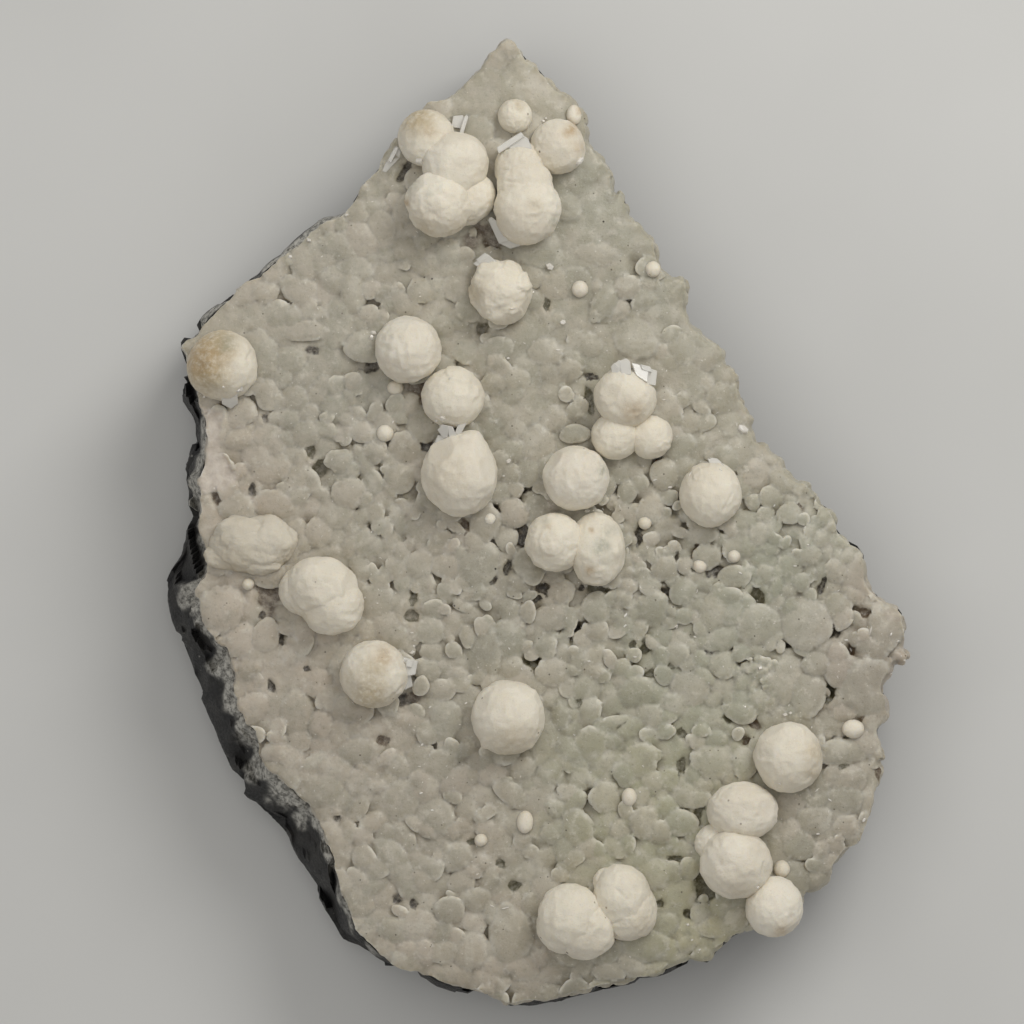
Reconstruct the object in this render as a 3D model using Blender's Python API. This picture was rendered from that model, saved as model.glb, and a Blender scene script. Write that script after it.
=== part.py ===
"""Gyrolite balls on a crust of prehnite, over a slab of basalt.

The slab lies flat on its back with its crystal face up (+Z).  The face is laid
out on a plan whose units are UNIT metres: u runs to the right (+X) and v runs
down the face (-Y).  The origin is under the middle of the slab, on the surface
that it rests on.
"""
import math
import random

import bmesh
import bpy
from mathutils import Matrix, Vector
from mathutils.geometry import delaunay_2d_cdt

# ------------------------------------------------------- driving dimensions
UNIT = 0.00014            # one plan unit
GAP = 0.0003              # clearance between neighbouring pieces
BASALT_TOP = 0.0145       # height of the plane where rock meets crust
FACE = 0.0214             # mean height of the lobed crystal face
FACE_CROWN = 0.0008       # the middle of the face stands this much prouder
RIM_DROP = 0.0012         # the face falls by this at its rim
RIM_INSET = 0.0006        # and the rim is rounded over by this
LOBE_PITCH = 0.0042       # spacing of the larger prehnite lobes
LOBE_RADIUS = 0.0029
LOBE_RELIEF = 0.0014
GRID_PITCH = 0.0034       # spacing of the facets that carry the lobes
SCAR_DEPTH = 0.50         # a ball is cut by its scar this far below centre (x r)

# ------------------------------------------------------------ crust outline
# Clockwise from the apex, in plan units.
CRUST = [
    (506, 38), (517, 42), (526, 57), (541, 70), (551, 81), (570, 95),
    (586, 113), (589, 134), (600, 156), (613, 174), (616, 193), (628, 200),
    (630, 214), (640, 224), (655, 240), (660, 259), (670, 276), (684, 276),
    (690, 288), (687, 306), (695, 327), (714, 341), (726, 354), (740, 375),
    (741, 396), (752, 415), (757, 440), (770, 450), (785, 464), (797, 480),
    (812, 487), (820, 501), (834, 512), (842, 532), (862, 546), (867, 563),
    (870, 584), (884, 601), (901, 607), (908, 630), (912, 656), (894, 665),
    (886, 684), (891, 714), (881, 731), (886, 758), (884, 778), (875, 795),
    (869, 820), (861, 844), (846, 853), (834, 872), (820, 890), (806, 897),
    (800, 912), (780, 920), (757, 928), (738, 937), (722, 948), (706, 963),
    (680, 964), (658, 977), (632, 983), (604, 989), (572, 996), (545, 1003),
    (512, 1008), (490, 998), (462, 988), (436, 981), (410, 972), (388, 962),
    (366, 942), (352, 924), (345, 900), (337, 876), (330, 852), (322, 830),
    (310, 806), (289, 787), (266, 768), (257, 744), (244, 718), (233, 692),
    (229, 662), (212, 638), (203, 616), (195, 592), (206, 570), (203, 545),
    (199, 516), (198, 488), (206, 456), (206, 430), (202, 406), (194, 384),
    (186, 360), (181, 345), (203, 325), (222, 304), (245, 283), (268, 267),
    (290, 250), (312, 230), (334, 217), (353, 203), (364, 181), (381, 161),
    (398, 138), (412, 118), (430, 99), (448, 99), (466, 84), (484, 65),
    (492, 50),
]

# ------------------------------------------------- rock showing past the crust
# Bearing from HUB in degrees (0 right, 90 up the face, 180 left) and how far
# the rock stands out past the crust there, in plan units.
HUB = (530, 560)
ROCK_REACH = [
    (0, -11), (35, -9), (70, -5), (90, -6), (112, 2), (124, 4), (134, 3),
    (141, 5), (149, 3), (155, 14), (161, 13), (165, 18), (169, 8), (174, 9),
    (178, 22), (182, 32), (187, 30), (194, 31), (202, 30), (212, 27),
    (220, 38), (228, 36), (236, 30), (242, 20), (249, 10), (258, 5),
    (270, 4), (282, 4), (296, 3), (308, -4), (325, -9), (345, -12),
]
ROCK_SIDES = 64           # facets round the slab
# (height, share of the outward reach, extra inset in metres) of each ring
ROCK_RINGS = [
    (0.0000, 1.00, 0.0042),
    (0.0030, 1.00, 0.0014),
    (0.0075, 1.00, 0.0000),
    (0.0115, 0.62, 0.0000),
    (BASALT_TOP, 0.22, 0.0004),
]

# ------------------------------------------------------------ gyrolite balls
# Each node is a list of lobes: u, v, radius in plan units, lift of its centre
# above the face as a share of the radius, and stretch along u, v and height.
ROUND = (1.0, 1.0, 1.0)
BALLS = {
    "gyrolite_cluster_upper_left": [
        (427, 138, 28.5, 0.35, ROUND), (455, 166, 33, 0.55, ROUND),
        (474, 206, 19.5, 0.10, ROUND), (439, 204, 33, 0.80, ROUND)],
    "gyrolite_cluster_upper_right": [
        (521, 166, 27, 0.40, ROUND), (527, 210, 34.5, 0.60, ROUND),
        (558, 147, 27.5, 0.35, ROUND)],
    "gyrolite_ball_top_small": [(515, 116, 17, 0.30, ROUND)],
    "gyrolite_ball_flaky": [(500, 292, 31.5, 0.45, ROUND)],
    "gyrolite_ball_upper_middle": [(408, 350, 33, 0.45, ROUND)],
    "gyrolite_ball_middle": [(453, 398, 31, 0.45, ROUND)],
    "gyrolite_ball_large_middle": [(460, 475, 38.5, 0.40, (0.98, 1.06, 0.95))],
    "gyrolite_ball_left_edge": [(222, 366, 35, 0.25, ROUND)],
    "gyrolite_cluster_of_three": [
        (625, 398, 31, 0.50, ROUND), (615, 436, 23.5, 0.40, ROUND),
        (650, 437, 22, 0.30, ROUND)],
    "gyrolite_ball_centre": [(576, 478, 32, 0.45, ROUND)],
    "gyrolite_pair_centre": [
        (554, 542, 29.5, 0.55, ROUND), (597, 549, 29, 0.35, (0.95, 1.24, 1.0))],
    "gyrolite_ball_right": [(711, 494, 31.5, 0.45, (0.98, 1.03, 1.0))],
    "gyrolite_ball_lumpy": [(323, 595, 41, 0.35, (1.0, 0.98, 0.85))],
    "gyrolite_ball_stained": [(374, 674, 33.5, 0.45, ROUND)],
    "gyrolite_ball_lower_middle": [(508, 717, 37, 0.42, ROUND)],
    "gyrolite_ball_lower_right": [(788, 757, 33.5, 0.45, (1.0, 1.06, 1.0))],
    "gyrolite_cluster_lower_right": [
        (743, 811, 34, 0.35, (1.05, 0.88, 1.0)), (736, 864, 35.5, 0.55, ROUND),
        (714, 843, 19, 0.30, ROUND), (774, 907, 28.5, 0.70, (1.0, 1.06, 1.0))],
    "gyrolite_pair_bottom": [
        (576, 922, 38, 0.48, (0.98, 1.0, 0.95)), (624, 901, 35, 0.30, (0.95, 1.1, 0.95))],
    "gyrolite_mound_left": [(252, 545, 30, 0.02, (1.46, 1.0, 0.85))],
}
# Beads: u, v, radius, stretch.
BEADS = [
    (574, 115, 8.0, (0.95, 1.25, 0.9)), (580, 289, 8.5, ROUND),
    (385, 433, 8.5, ROUND), (395, 388, 7.0, (1.2, 1.0, 0.9)),
    (525, 822, 8.5, (1.0, 1.35, 0.9)), (853, 729, 9.5, (1.2, 1.0, 0.9)),
    (629, 797, 8.0, (0.95, 1.15, 0.9)), (782, 869, 8.0, (1.0, 1.1, 0.9)),
    (734, 556, 6.5, ROUND), (700, 566, 7.0, ROUND), (645, 523, 6.5, ROUND),
    (653, 269, 8.0, ROUND), (490, 519, 6.5, ROUND), (481, 840, 6.5, ROUND),
    (248, 584, 6.0, ROUND),
]

# -------------------------------------------------------- apophyllite crystals
# name: u, v, foot height above the face (m), length, width, height (plan
# units), bearing of its length in degrees, balls that it grew against
CRYSTALS = {
    "apophyllite_slab_rim": (387, 159, 0.0002, 30, 14, 12, 42, ()),
    "apophyllite_needle": (463, 124, 0.0008, 22, 5, 6, 78, ("gyrolite_cluster_upper_left",)),
    "apophyllite_blade_top": (507, 145, 0.0034, 30, 8, 8, 32, ("gyrolite_cluster_upper_right", "gyrolite_ball_top_small")),
    "apophyllite_blade_side": (500, 240, 0.0014, 26, 14, 16, -55, ("gyrolite_cluster_upper_right", "gyrolite_cluster_upper_left")),
    "apophyllite_on_flaky_ball": (481, 259, 0.0022, 20, 11, 12, 35, ("gyrolite_ball_flaky",)),
    "apophyllite_block_left": (621, 365, 0.0030, 18, 15, 14, 32, ("gyrolite_cluster_of_three",)),
    "apophyllite_block_right": (647, 373, 0.0028, 22, 16, 14, -28, ("gyrolite_cluster_of_three",)),
    "apophyllite_group_middle": (447, 433, 0.0012, 20, 12, 12, -10, ("gyrolite_ball_middle", "gyrolite_ball_large_middle")),
    "apophyllite_on_right_ball": (717, 462, 0.0022, 16, 9, 10, -25, ("gyrolite_ball_right",)),
    "apophyllite_on_stained_ball": (412, 668, 0.0012, 20, 17, 17, 80, ("gyrolite_ball_stained",)),
    "apophyllite_left_corner": (235, 400, 0.0004, 16, 12, 10, -12, ("gyrolite_ball_left_edge",)),
}

# ------------------------------------------------------------------- finish
FINISH = {
    "basalt": ((0.018, 0.018, 0.019), 0.70),
    "prehnite": ((0.40, 0.40, 0.33), 0.38),
    "gyrolite": ((0.70, 0.65, 0.55), 0.75),
    "apophyllite": ((0.86, 0.87, 0.85), 0.10),
}


def clear_scene():
    for obj in list(bpy.data.objects):
        bpy.data.objects.remove(obj, do_unlink=True)


def finish(obj, kind, shade=1.0):
    """Give the piece its own material."""
    colour, rough = FINISH[kind]
    mat = bpy.data.materials.new(obj.name)
    mat.use_nodes = True
    bsdf = mat.node_tree.nodes["Principled BSDF"]
    bsdf.inputs["Base Color"].default_value = (*[c * shade for c in colour], 1.0)
    bsdf.inputs["Roughness"].default_value = rough
    bsdf.inputs["Metallic"].default_value = 0.0
    obj.data.materials.clear()
    obj.data.materials.append(mat)


def new_object(name, bm):
    mesh = bpy.data.meshes.new(name)
    bmesh.ops.recalc_face_normals(bm, faces=bm.faces)
    bm.to_mesh(mesh)
    bm.free()
    obj = bpy.data.objects.new(name, mesh)
    bpy.context.scene.collection.objects.link(obj)
    return obj


def as_guide(obj):
    obj.hide_render = True
    obj.display_type = 'WIRE'


# ------------------------------------------------------------- plan geometry
def ray_reach(outline, hub, angle):
    """Distance from hub to the far side of the outline along a bearing."""
    dx, dy = math.cos(angle), -math.sin(angle)
    best = 0.0
    for (x1, y1), (x2, y2) in zip(outline, outline[1:] + outline[:1]):
        ex, ey = x2 - x1, y2 - y1
        den = dx * ey - dy * ex
        if abs(den) < 1e-9:
            continue
        t = ((x1 - hub[0]) * ey - (y1 - hub[1]) * ex) / den
        s = ((x1 - hub[0]) * dy - (y1 - hub[1]) * dx) / den
        if t > 0 and 0.0 <= s <= 1.0:
            best = max(best, t)
    return best


def rock_reach(bearing):
    """Reach of the rock past the crust at a bearing, in plan units."""
    table = ROCK_REACH + [(360 + ROCK_REACH[0][0], ROCK_REACH[0][1])]
    for (b1, r1), (b2, r2) in zip(table, table[1:]):
        if b1 <= bearing <= b2:
            f = (bearing - b1) / (b2 - b1)
            return r1 + (r2 - r1) * f
    return ROCK_REACH[0][1]


def rock_ring(share, inset, rnd=None):
    pts = []
    for i in range(ROCK_SIDES):
        bearing = 360.0 * i / ROCK_SIDES
        angle = math.radians(bearing)
        reach = rock_reach(bearing)
        if reach > 0:
            reach *= share
        dist = ray_reach(CRUST, HUB, angle) + reach - inset / UNIT
        if rnd is not None:
            dist -= rnd.uniform(0.0, 3.0)
        pts.append((HUB[0] + dist * math.cos(angle),
                    HUB[1] - dist * math.sin(angle)))
    return pts


WIDEST = rock_ring(1.0, 0.0)
ALL_U = [p[0] for p in CRUST + WIDEST]
ALL_V = [p[1] for p in CRUST + WIDEST]
MID_U = (min(ALL_U) + max(ALL_U)) / 2
MID_V = (min(ALL_V) + max(ALL_V)) / 2


def place(u, v):
    """Plan units to metres in the part's frame."""
    return (u - MID_U) * UNIT, (MID_V - v) * UNIT


CRUST_M = [place(u, v) for u, v in CRUST]


def inside(x, y, poly):
    hit = False
    for (x1, y1), (x2, y2) in zip(poly, poly[1:] + poly[:1]):
        if (y1 > y) != (y2 > y) and x < (x2 - x1) * (y - y1) / (y2 - y1) + x1:
            hit = not hit
    return hit


def rim_distance(x, y, poly):
    best = 1e9
    for (x1, y1), (x2, y2) in zip(poly, poly[1:] + poly[:1]):
        ex, ey = x2 - x1, y2 - y1
        t = max(0.0, min(1.0, ((x - x1) * ex + (y - y1) * ey) / (ex * ex + ey * ey)))
        best = min(best, math.hypot(x - x1 - t * ex, y - y1 - t * ey))
    return best


def offset_ring(poly, dist):
    """The outline moved inwards by dist (the outline runs clockwise)."""
    out = []
    n = len(poly)
    for i in range(n):
        x0, y0 = poly[i - 1]
        x1, y1 = poly[i]
        x2, y2 = poly[(i + 1) % n]
        tx, ty = x2 - x0, y2 - y0
        length = math.hypot(tx, ty)
        out.append((x1 + dist * ty / length, y1 - dist * tx / length))
    return out


def level(x, y):
    """Smooth height of the face, before its lobes."""
    d = rim_distance(x, y, CRUST_M) if inside(x, y, CRUST_M) else 0.0
    crown = FACE_CROWN * min(1.0, d / 0.025)
    return FACE + crown - RIM_DROP * math.exp(-d / 0.0022)


# ------------------------------------------------------------ balls and beads
def lobe_list(spec):
    """Lobes of one node in metres: x, y, z, radius, stretch, scar height."""
    lobes = []
    for u, v, r, lift, stretch in spec:
        x, y = place(u, v)
        rr = r * UNIT
        lobes.append([x, y, level(x, y) + lift * rr, rr, stretch])
    scar = min(l[2] - SCAR_DEPTH * l[3] * l[4][2] for l in lobes)
    return lobes, scar


def ball_mesh(radius, stretch, segments, rings, turn):
    bm = bmesh.new()
    bmesh.ops.create_uvsphere(bm, u_segments=segments, v_segments=rings,
                              radius=radius)
    bmesh.ops.rotate(bm, verts=bm.verts, cent=(0, 0, 0),
                     matrix=Matrix.Rotation(turn, 3, 'Z'))
    bmesh.ops.scale(bm, verts=bm.verts, vec=stretch)
    return bm


def make_balls(name, spec, segments, rings, shade):
    """One node: its lobes joined, and cut flat where it grew on the crust."""
    rnd = random.Random(name)
    lobes, scar = lobe_list(spec)
    first = None
    for i, (x, y, z, r, stretch) in enumerate(lobes):
        bm = ball_mesh(r, stretch, segments, rings, rnd.uniform(0, 1))
        bmesh.ops.translate(bm, verts=bm.verts, vec=(x, y, z))
        obj = new_object(name if i == 0 else "%s_lobe_%d" % (name, i), bm)
        if i == 0:
            first = obj
        else:
            as_guide(obj)
            join = first.modifiers.new("join_%d" % i, 'BOOLEAN')
            join.operation = 'UNION'
            join.solver = 'EXACT'
            join.object = obj
    # The scar: everything under this plane is taken off.
    reach = max(max(abs(l[0] - lobes[0][0]), abs(l[1] - lobes[0][1])) + 2.2 * l[3]
                for l in lobes)
    bm = bmesh.new()
    bmesh.ops.create_cube(bm, size=2.0)
    bmesh.ops.scale(bm, verts=bm.verts, vec=(reach, reach, 0.006))
    bmesh.ops.translate(bm, verts=bm.verts,
                        vec=(lobes[0][0], lobes[0][1], scar - 0.006))
    cutter = new_object(name + "_scar", bm)
    as_guide(cutter)
    cut = first.modifiers.new("scar", 'BOOLEAN')
    cut.operation = 'DIFFERENCE'
    cut.solver = 'EXACT'
    cut.object = cutter
    for poly in first.data.polygons:
        poly.use_smooth = True
    finish(first, "gyrolite", shade)
    return lobes, scar


# ------------------------------------------------------------------ crystals
def make_crystal(name, u, v, foot, length, width, height, bearing, against,
                 ball_lobes):
    """A short square-ended prism, hollowed where it meets its ball."""
    x, y = place(u, v)
    z0 = level(x, y) + foot
    l, w, h = length * UNIT / 2, width * UNIT / 2, height * UNIT
    bm = bmesh.new()
    bmesh.ops.create_cube(bm, size=2.0)
    bmesh.ops.scale(bm, verts=bm.verts, vec=(l, w, h / 2))
    bmesh.ops.bevel(bm, geom=[e for e in bm.edges], offset=min(l, w, h) * 0.28,
                    segments=1, affect='EDGES', profile=0.5)
    bmesh.ops.rotate(bm, verts=bm.verts, cent=(0, 0, 0),
                     matrix=Matrix.Rotation(math.radians(bearing), 3, 'Z'))
    bmesh.ops.translate(bm, verts=bm.verts, vec=(x, y, z0 + h / 2))
    obj = new_object(name, bm)
    for node in against:
        for i, (bx, by, bz, br, stretch) in enumerate(ball_lobes[node]):
            if math.hypot(bx - x, by - y) > br * max(stretch) + l + 0.001:
                continue
            bm = ball_mesh(br + 0.00055, stretch, 16, 10, 0.0)
            bmesh.ops.translate(bm, verts=bm.verts, vec=(bx, by, bz))
            guide = new_object("%s_seat_%s_%d" % (name, node[-6:], i), bm)
            as_guide(guide)
            cut = obj.modifiers.new("seat_%d" % i, 'BOOLEAN')
            cut.operation = 'DIFFERENCE'
            cut.solver = 'EXACT'
            cut.object = guide
    finish(obj, "apophyllite")
    return x, y, math.hypot(l, w), z0


# --------------------------------------------------------------------- crust
def lobe_field():
    """Centres and heights of the larger lobes of the crust."""
    rnd = random.Random(41)
    xs = [p[0] for p in CRUST_M]
    ys = [p[1] for p in CRUST_M]
    lobes = []
    row = 0
    y = min(ys)
    while y < max(ys):
        x = min(xs) + (LOBE_PITCH / 2 if row % 2 else 0.0)
        while x < max(xs):
            px = x + rnd.uniform(-0.3, 0.3) * LOBE_PITCH
            py = y + rnd.uniform(-0.3, 0.3) * LOBE_PITCH
            lobes.append((px, py, rnd.uniform(0.7, 1.0)))
            x += LOBE_PITCH
        y += LOBE_PITCH * 0.87
        row += 1
    return lobes


def make_crust(footprints):
    rim_top = offset_ring(CRUST_M, RIM_INSET)
    rim_low = offset_ring(CRUST_M, RIM_INSET * 0.8)
    lobes = lobe_field()
    rnd = random.Random(7)

    def height(x, y):
        z = level(x, y)
        relief = 0.0
        for lx, ly, size in lobes:
            d = math.hypot(x - lx, y - ly)
            if d < LOBE_RADIUS * size:
                relief = max(relief, size * LOBE_RELIEF *
                             math.sqrt(1 - (d / (LOBE_RADIUS * size)) ** 2))
        z += relief - 0.5 * LOBE_RELIEF
        for fx, fy, reach, top in footprints:
            if math.hypot(x - fx, y - fy) < reach + 1.25 * GRID_PITCH:
                z = min(z, top - GAP)
        return z

    points = list(rim_top)
    n = len(points)
    xs = [p[0] for p in CRUST_M]
    ys = [p[1] for p in CRUST_M]
    row = 0
    y = min(ys)
    while y < max(ys):
        x = min(xs) + (GRID_PITCH / 2 if row % 2 else 0.0)
        while x < max(xs):
            px = x + rnd.uniform(-0.16, 0.16) * GRID_PITCH
            py = y + rnd.uniform(-0.16, 0.16) * GRID_PITCH
            if inside(px, py, rim_top) and rim_distance(px, py, rim_top) > 0.0015:
                points.append((px, py))
            x += GRID_PITCH
        y += GRID_PITCH * 0.87
        row += 1
    rim_edges = [(i, (i + 1) % n) for i in range(n)]
    verts, _, tris, _, _, _ = delaunay_2d_cdt(
        [Vector(p) for p in points], rim_edges, [], 1, 1e-7)

    bm = bmesh.new()
    top = []
    for i, p in enumerate(verts):
        z = height(p.x, p.y)
        top.append(bm.verts.new((p.x, p.y, z)))
    for tri in tris:
        bm.faces.new([top[i] for i in tri])
    # Side: over the rounded rim, down, and in a little at the foot.
    low_z = BASALT_TOP + GAP
    shoulder = [bm.verts.new((x, y, low_z + 0.62 * (top[i].co.z - low_z)))
                for i, (x, y) in enumerate(CRUST_M)]
    foot = [bm.verts.new((x, y, low_z)) for x, y in rim_low]
    for i in range(n):
        j = (i + 1) % n
        bm.faces.new((top[i], top[j], shoulder[j], shoulder[i]))
        bm.faces.new((shoulder[i], shoulder[j], foot[j], foot[i]))
    bm.faces.new(foot)
    bmesh.ops.triangulate(bm, faces=[f for f in bm.faces if len(f.verts) > 3])
    obj = new_object("prehnite_crust", bm)
    finish(obj, "prehnite")
    return obj


# ---------------------------------------------------------------------- rock
def make_rock():
    rnd = random.Random(19)
    bm = bmesh.new()
    rings = []
    for k, (z, share, inset) in enumerate(ROCK_RINGS):
        rough = None if k == 2 else rnd
        ring = rock_ring(share, inset, rough)
        lift = [0.0] * ROCK_SIDES
        if 0 < k < len(ROCK_RINGS) - 1:
            lift = [rnd.uniform(-0.0008, 0.0008) for _ in range(ROCK_SIDES)]
        rings.append([bm.verts.new((*place(u, v), z + dz))
                      for (u, v), dz in zip(ring, lift)])
    for lower, upper in zip(rings, rings[1:]):
        for i in range(ROCK_SIDES):
            j = (i + 1) % ROCK_SIDES
            bm.faces.new((lower[i], lower[j], upper[j], upper[i]))
    bm.faces.new(rings[0])
    bm.faces.new(rings[-1])
    bmesh.ops.triangulate(bm, faces=bm.faces[:])
    obj = new_object("basalt_matrix", bm)
    finish(obj, "basalt")
    return obj


def main():
    clear_scene()
    footprints = []
    ball_lobes = {}
    for name, spec in BALLS.items():
        shade = random.Random(name + "tone").uniform(0.94, 1.04)
        lobes, scar = make_balls(name, spec, 13, 8, shade)
        ball_lobes[name] = lobes
        for x, y, z, r, stretch in lobes:
            footprints.append((x, y, r * max(stretch[:2]), scar))
    for i, (u, v, r, stretch) in enumerate(BEADS):
        name = "gyrolite_bead_%02d" % (i + 1)
        lobes, scar = make_balls(name, [(u, v, r, 0.25, stretch)], 8, 6, 1.0)
        for x, y, z, rr, st in lobes:
            footprints.append((x, y, rr * max(st[:2]), scar))
    for name, row in CRYSTALS.items():
        x, y, reach, z0 = make_crystal(name, *row, ball_lobes)
        footprints.append((x, y, reach, z0))
    make_crust(footprints)
    make_rock()


main()
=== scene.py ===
"""Looks of the gyrolite specimen: balls of gyrolite and clear apophyllite
crystals on a lobed crust of prehnite, over black basalt.

The face is laid out on the same plan as the solids: u to the right (+X), v down
the face (-Y), UNIT metres to one plan unit.
"""

import math
import random

import bmesh
import bpy
import numpy as np
from mathutils import Matrix, Vector
from mathutils.bvhtree import BVHTree
from mathutils.geometry import delaunay_2d_cdt


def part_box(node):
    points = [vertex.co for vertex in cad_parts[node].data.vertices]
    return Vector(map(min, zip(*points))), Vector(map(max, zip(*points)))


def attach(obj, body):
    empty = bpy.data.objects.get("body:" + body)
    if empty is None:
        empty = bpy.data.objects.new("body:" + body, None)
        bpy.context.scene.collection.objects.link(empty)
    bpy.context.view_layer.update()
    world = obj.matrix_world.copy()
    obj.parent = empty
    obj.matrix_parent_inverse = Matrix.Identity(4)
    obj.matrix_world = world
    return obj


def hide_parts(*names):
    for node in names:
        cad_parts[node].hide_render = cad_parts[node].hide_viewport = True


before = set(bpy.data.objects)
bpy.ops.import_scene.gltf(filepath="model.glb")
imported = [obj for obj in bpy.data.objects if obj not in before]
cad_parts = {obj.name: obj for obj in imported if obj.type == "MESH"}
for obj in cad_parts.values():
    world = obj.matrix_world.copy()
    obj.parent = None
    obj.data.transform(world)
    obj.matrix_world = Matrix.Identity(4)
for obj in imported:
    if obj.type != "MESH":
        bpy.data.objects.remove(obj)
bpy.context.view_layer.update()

# ------------------------------------------------------------------ the plan
UNIT = 0.00014
_clo, _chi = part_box("prehnite_crust")
MID_U = 912.0 - _chi.x / UNIT
MID_V = 38.0 + _chi.y / UNIT
BASALT_TOP = 0.0145
FACE = 0.0214
FACE_CROWN = 0.0008
RIM_DROP = 0.0012
HUB = (530.0, 560.0)


def place(u, v):
    return (u - MID_U) * UNIT, (MID_V - v) * UNIT


# Outline of the crust, clockwise from the apex, in plan units.
OUTLINE = [
    (506, 38), (513, 40), (518, 43), (522, 50), (526, 57), (537, 64), (541, 70),
    (547, 74), (551, 81), (560, 89), (570, 95), (575, 102), (584, 110), (587, 117),
    (588, 123), (589, 134), (588, 140), (594, 145), (600, 156), (605, 159),
    (610, 168), (614, 174), (613, 185), (616, 193), (620, 189), (624, 195),
    (628, 200), (629, 215), (636, 218), (640, 224), (645, 232), (652, 236),
    (657, 245), (660, 259), (664, 268), (668, 275), (674, 278), (680, 275),
    (686, 277), (690, 285), (688, 300), (686, 308), (690, 316), (692, 323),
    (695, 327), (700, 330), (704, 335), (708, 339), (714, 341), (720, 344),
    (726, 353), (724, 361), (734, 366), (741, 375), (740, 397), (745, 400),
    (750, 411), (754, 420), (751, 426), (757, 440), (768, 444), (770, 451),
    (781, 458), (787, 468), (793, 477), (797, 480), (804, 480), (812, 486),
    (812, 492), (816, 493), (820, 501), (831, 508), (838, 521), (840, 530),
    (849, 540), (860, 545), (867, 555), (867, 580), (873, 590), (881, 596),
    (886, 604), (892, 605), (900, 607), (906, 615), (905, 622), (909, 632),
    (906, 640), (903, 644), (905, 650), (910, 652), (912, 658), (908, 664),
    (902, 666), (896, 662), (893, 667), (892, 675), (886, 680), (884, 688),
    (888, 697), (891, 715), (887, 723), (881, 729), (880, 735), (884, 748),
    (887, 759), (880, 762), (885, 772), (883, 780), (876, 792), (875, 800),
    (872, 810), (869, 820), (866, 830), (863, 840), (860, 845), (855, 848),
    (846, 852), (841, 860), (835, 866), (834, 872), (830, 880), (820, 890),
    (810, 893), (806, 898), (804, 905), (801, 913), (795, 915), (780, 920),
    (768, 925), (757, 928), (750, 930), (744, 934), (738, 937), (732, 938),
    (728, 944), (720, 949), (716, 953), (712, 960), (706, 963), (700, 963),
    (696, 961), (690, 960), (680, 963), (670, 968), (660, 977), (650, 979),
    (640, 981), (620, 985), (600, 989), (590, 992), (570, 996), (560, 1000),
    (545, 1003), (520, 1005), (512, 1008), (505, 1006), (498, 1001), (480, 994),
    (465, 989), (450, 986), (440, 983), (425, 975), (418, 972), (410, 972),
    (400, 970), (390, 963), (380, 957), (372, 948), (363, 939), (355, 930),
    (352, 920), (350, 911), (345, 900), (340, 892), (338, 880), (333, 865),
    (334, 859), (328, 848), (325, 840), (322, 828), (320, 823), (315, 812),
    (308, 804), (300, 799), (292, 790), (286, 785), (280, 776), (270, 772),
    (262, 762), (258, 755), (258, 742), (254, 730), (245, 724), (243, 715),
    (238, 708), (235, 700), (232, 690), (233, 685), (236, 680), (232, 665),
    (230, 655), (226, 648), (215, 644), (212, 636), (206, 630), (203, 618),
    (200, 608), (198, 595), (193, 590), (200, 580), (206, 579), (207, 565),
    (205, 555), (206, 548), (200, 535), (196, 528), (200, 515), (200, 500),
    (200, 488), (197, 478), (202, 470), (206, 455), (207, 440), (205, 420),
    (204, 412), (200, 405), (198, 395), (193, 380), (188, 365), (185, 355),
    (181, 345), (185, 341), (196, 335), (203, 325), (208, 318), (220, 306),
    (232, 296), (240, 287), (247, 281), (260, 277), (262, 272), (270, 266),
    (280, 257), (285, 255), (290, 250), (297, 245), (305, 237), (310, 232),
    (317, 229), (320, 224), (330, 219), (338, 217), (345, 212), (352, 205),
    (357, 196), (362, 183), (370, 177), (378, 168), (381, 160), (384, 152),
    (393, 143), (398, 137), (412, 118), (420, 110), (425, 102), (430, 99),
    (437, 100), (448, 99), (455, 93), (461, 89), (468, 82), (473, 76),
    (479, 70), (485, 62), (490, 52), (496, 48), (500, 42),
]
# Rock standing out past the crust down the left side, top to bottom.
ROCK_LEFT = [
    (183, 372), (183, 388), (183, 405), (190, 412), (190, 430), (193, 445), (188, 455),
    (183, 468), (186, 480), (190, 490), (190, 505), (195, 517), (190, 525),
    (185, 540), (180, 555), (172, 570), (167, 580), (165, 592), (168, 605),
    (172, 620), (178, 635), (181, 645), (187, 660), (193, 675), (200, 690),
    (203, 700), (212, 720), (218, 735), (224, 750), (232, 768), (238, 780),
    (244, 795), (262, 811), (286, 830), (305, 873), (324, 906), (343, 940),
    (367, 954), (392, 970),
]

# ------------------------------------------------------------ number helpers
def hash01(ix, iy, iz, seed):
    h = (ix * 374761393 + iy * 668265263 + iz * 1442695041 + seed * 974711) & 0xFFFFFFFF
    h = ((h ^ (h >> 13)) * 1274126177) & 0xFFFFFFFF
    h = h ^ (h >> 16)
    return (h & 0xFFFFFF) / float(0xFFFFFF)


def noise3(p, size, seed=0):
    """Smooth value noise of points p (n, 3), in -1..1, with features of size."""
    q = np.asarray(p, float) / size + 1000.0
    i = np.floor(q).astype(np.int64)
    f = q - i
    f = f * f * (3 - 2 * f)
    out = np.zeros(len(q))
    for dx in (0, 1):
        wx = f[:, 0] if dx else 1 - f[:, 0]
        for dy in (0, 1):
            wy = f[:, 1] if dy else 1 - f[:, 1]
            for dz in (0, 1):
                wz = f[:, 2] if dz else 1 - f[:, 2]
                out += wx * wy * wz * hash01(i[:, 0] + dx, i[:, 1] + dy, i[:, 2] + dz, seed)
    return out * 2 - 1


def noise2(p, size, seed=0):
    return noise3(np.column_stack((p[:, 0], p[:, 1], np.full(len(p), 0.37 * size))), size, seed)


def fractal(p, size, seed=0, octaves=3, fall=0.5):
    out, amp = 0.0, 1.0
    for k in range(octaves):
        out = out + amp * noise3(p, size / 2 ** k, seed + 17 * k)
        amp *= fall
    return out


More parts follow.
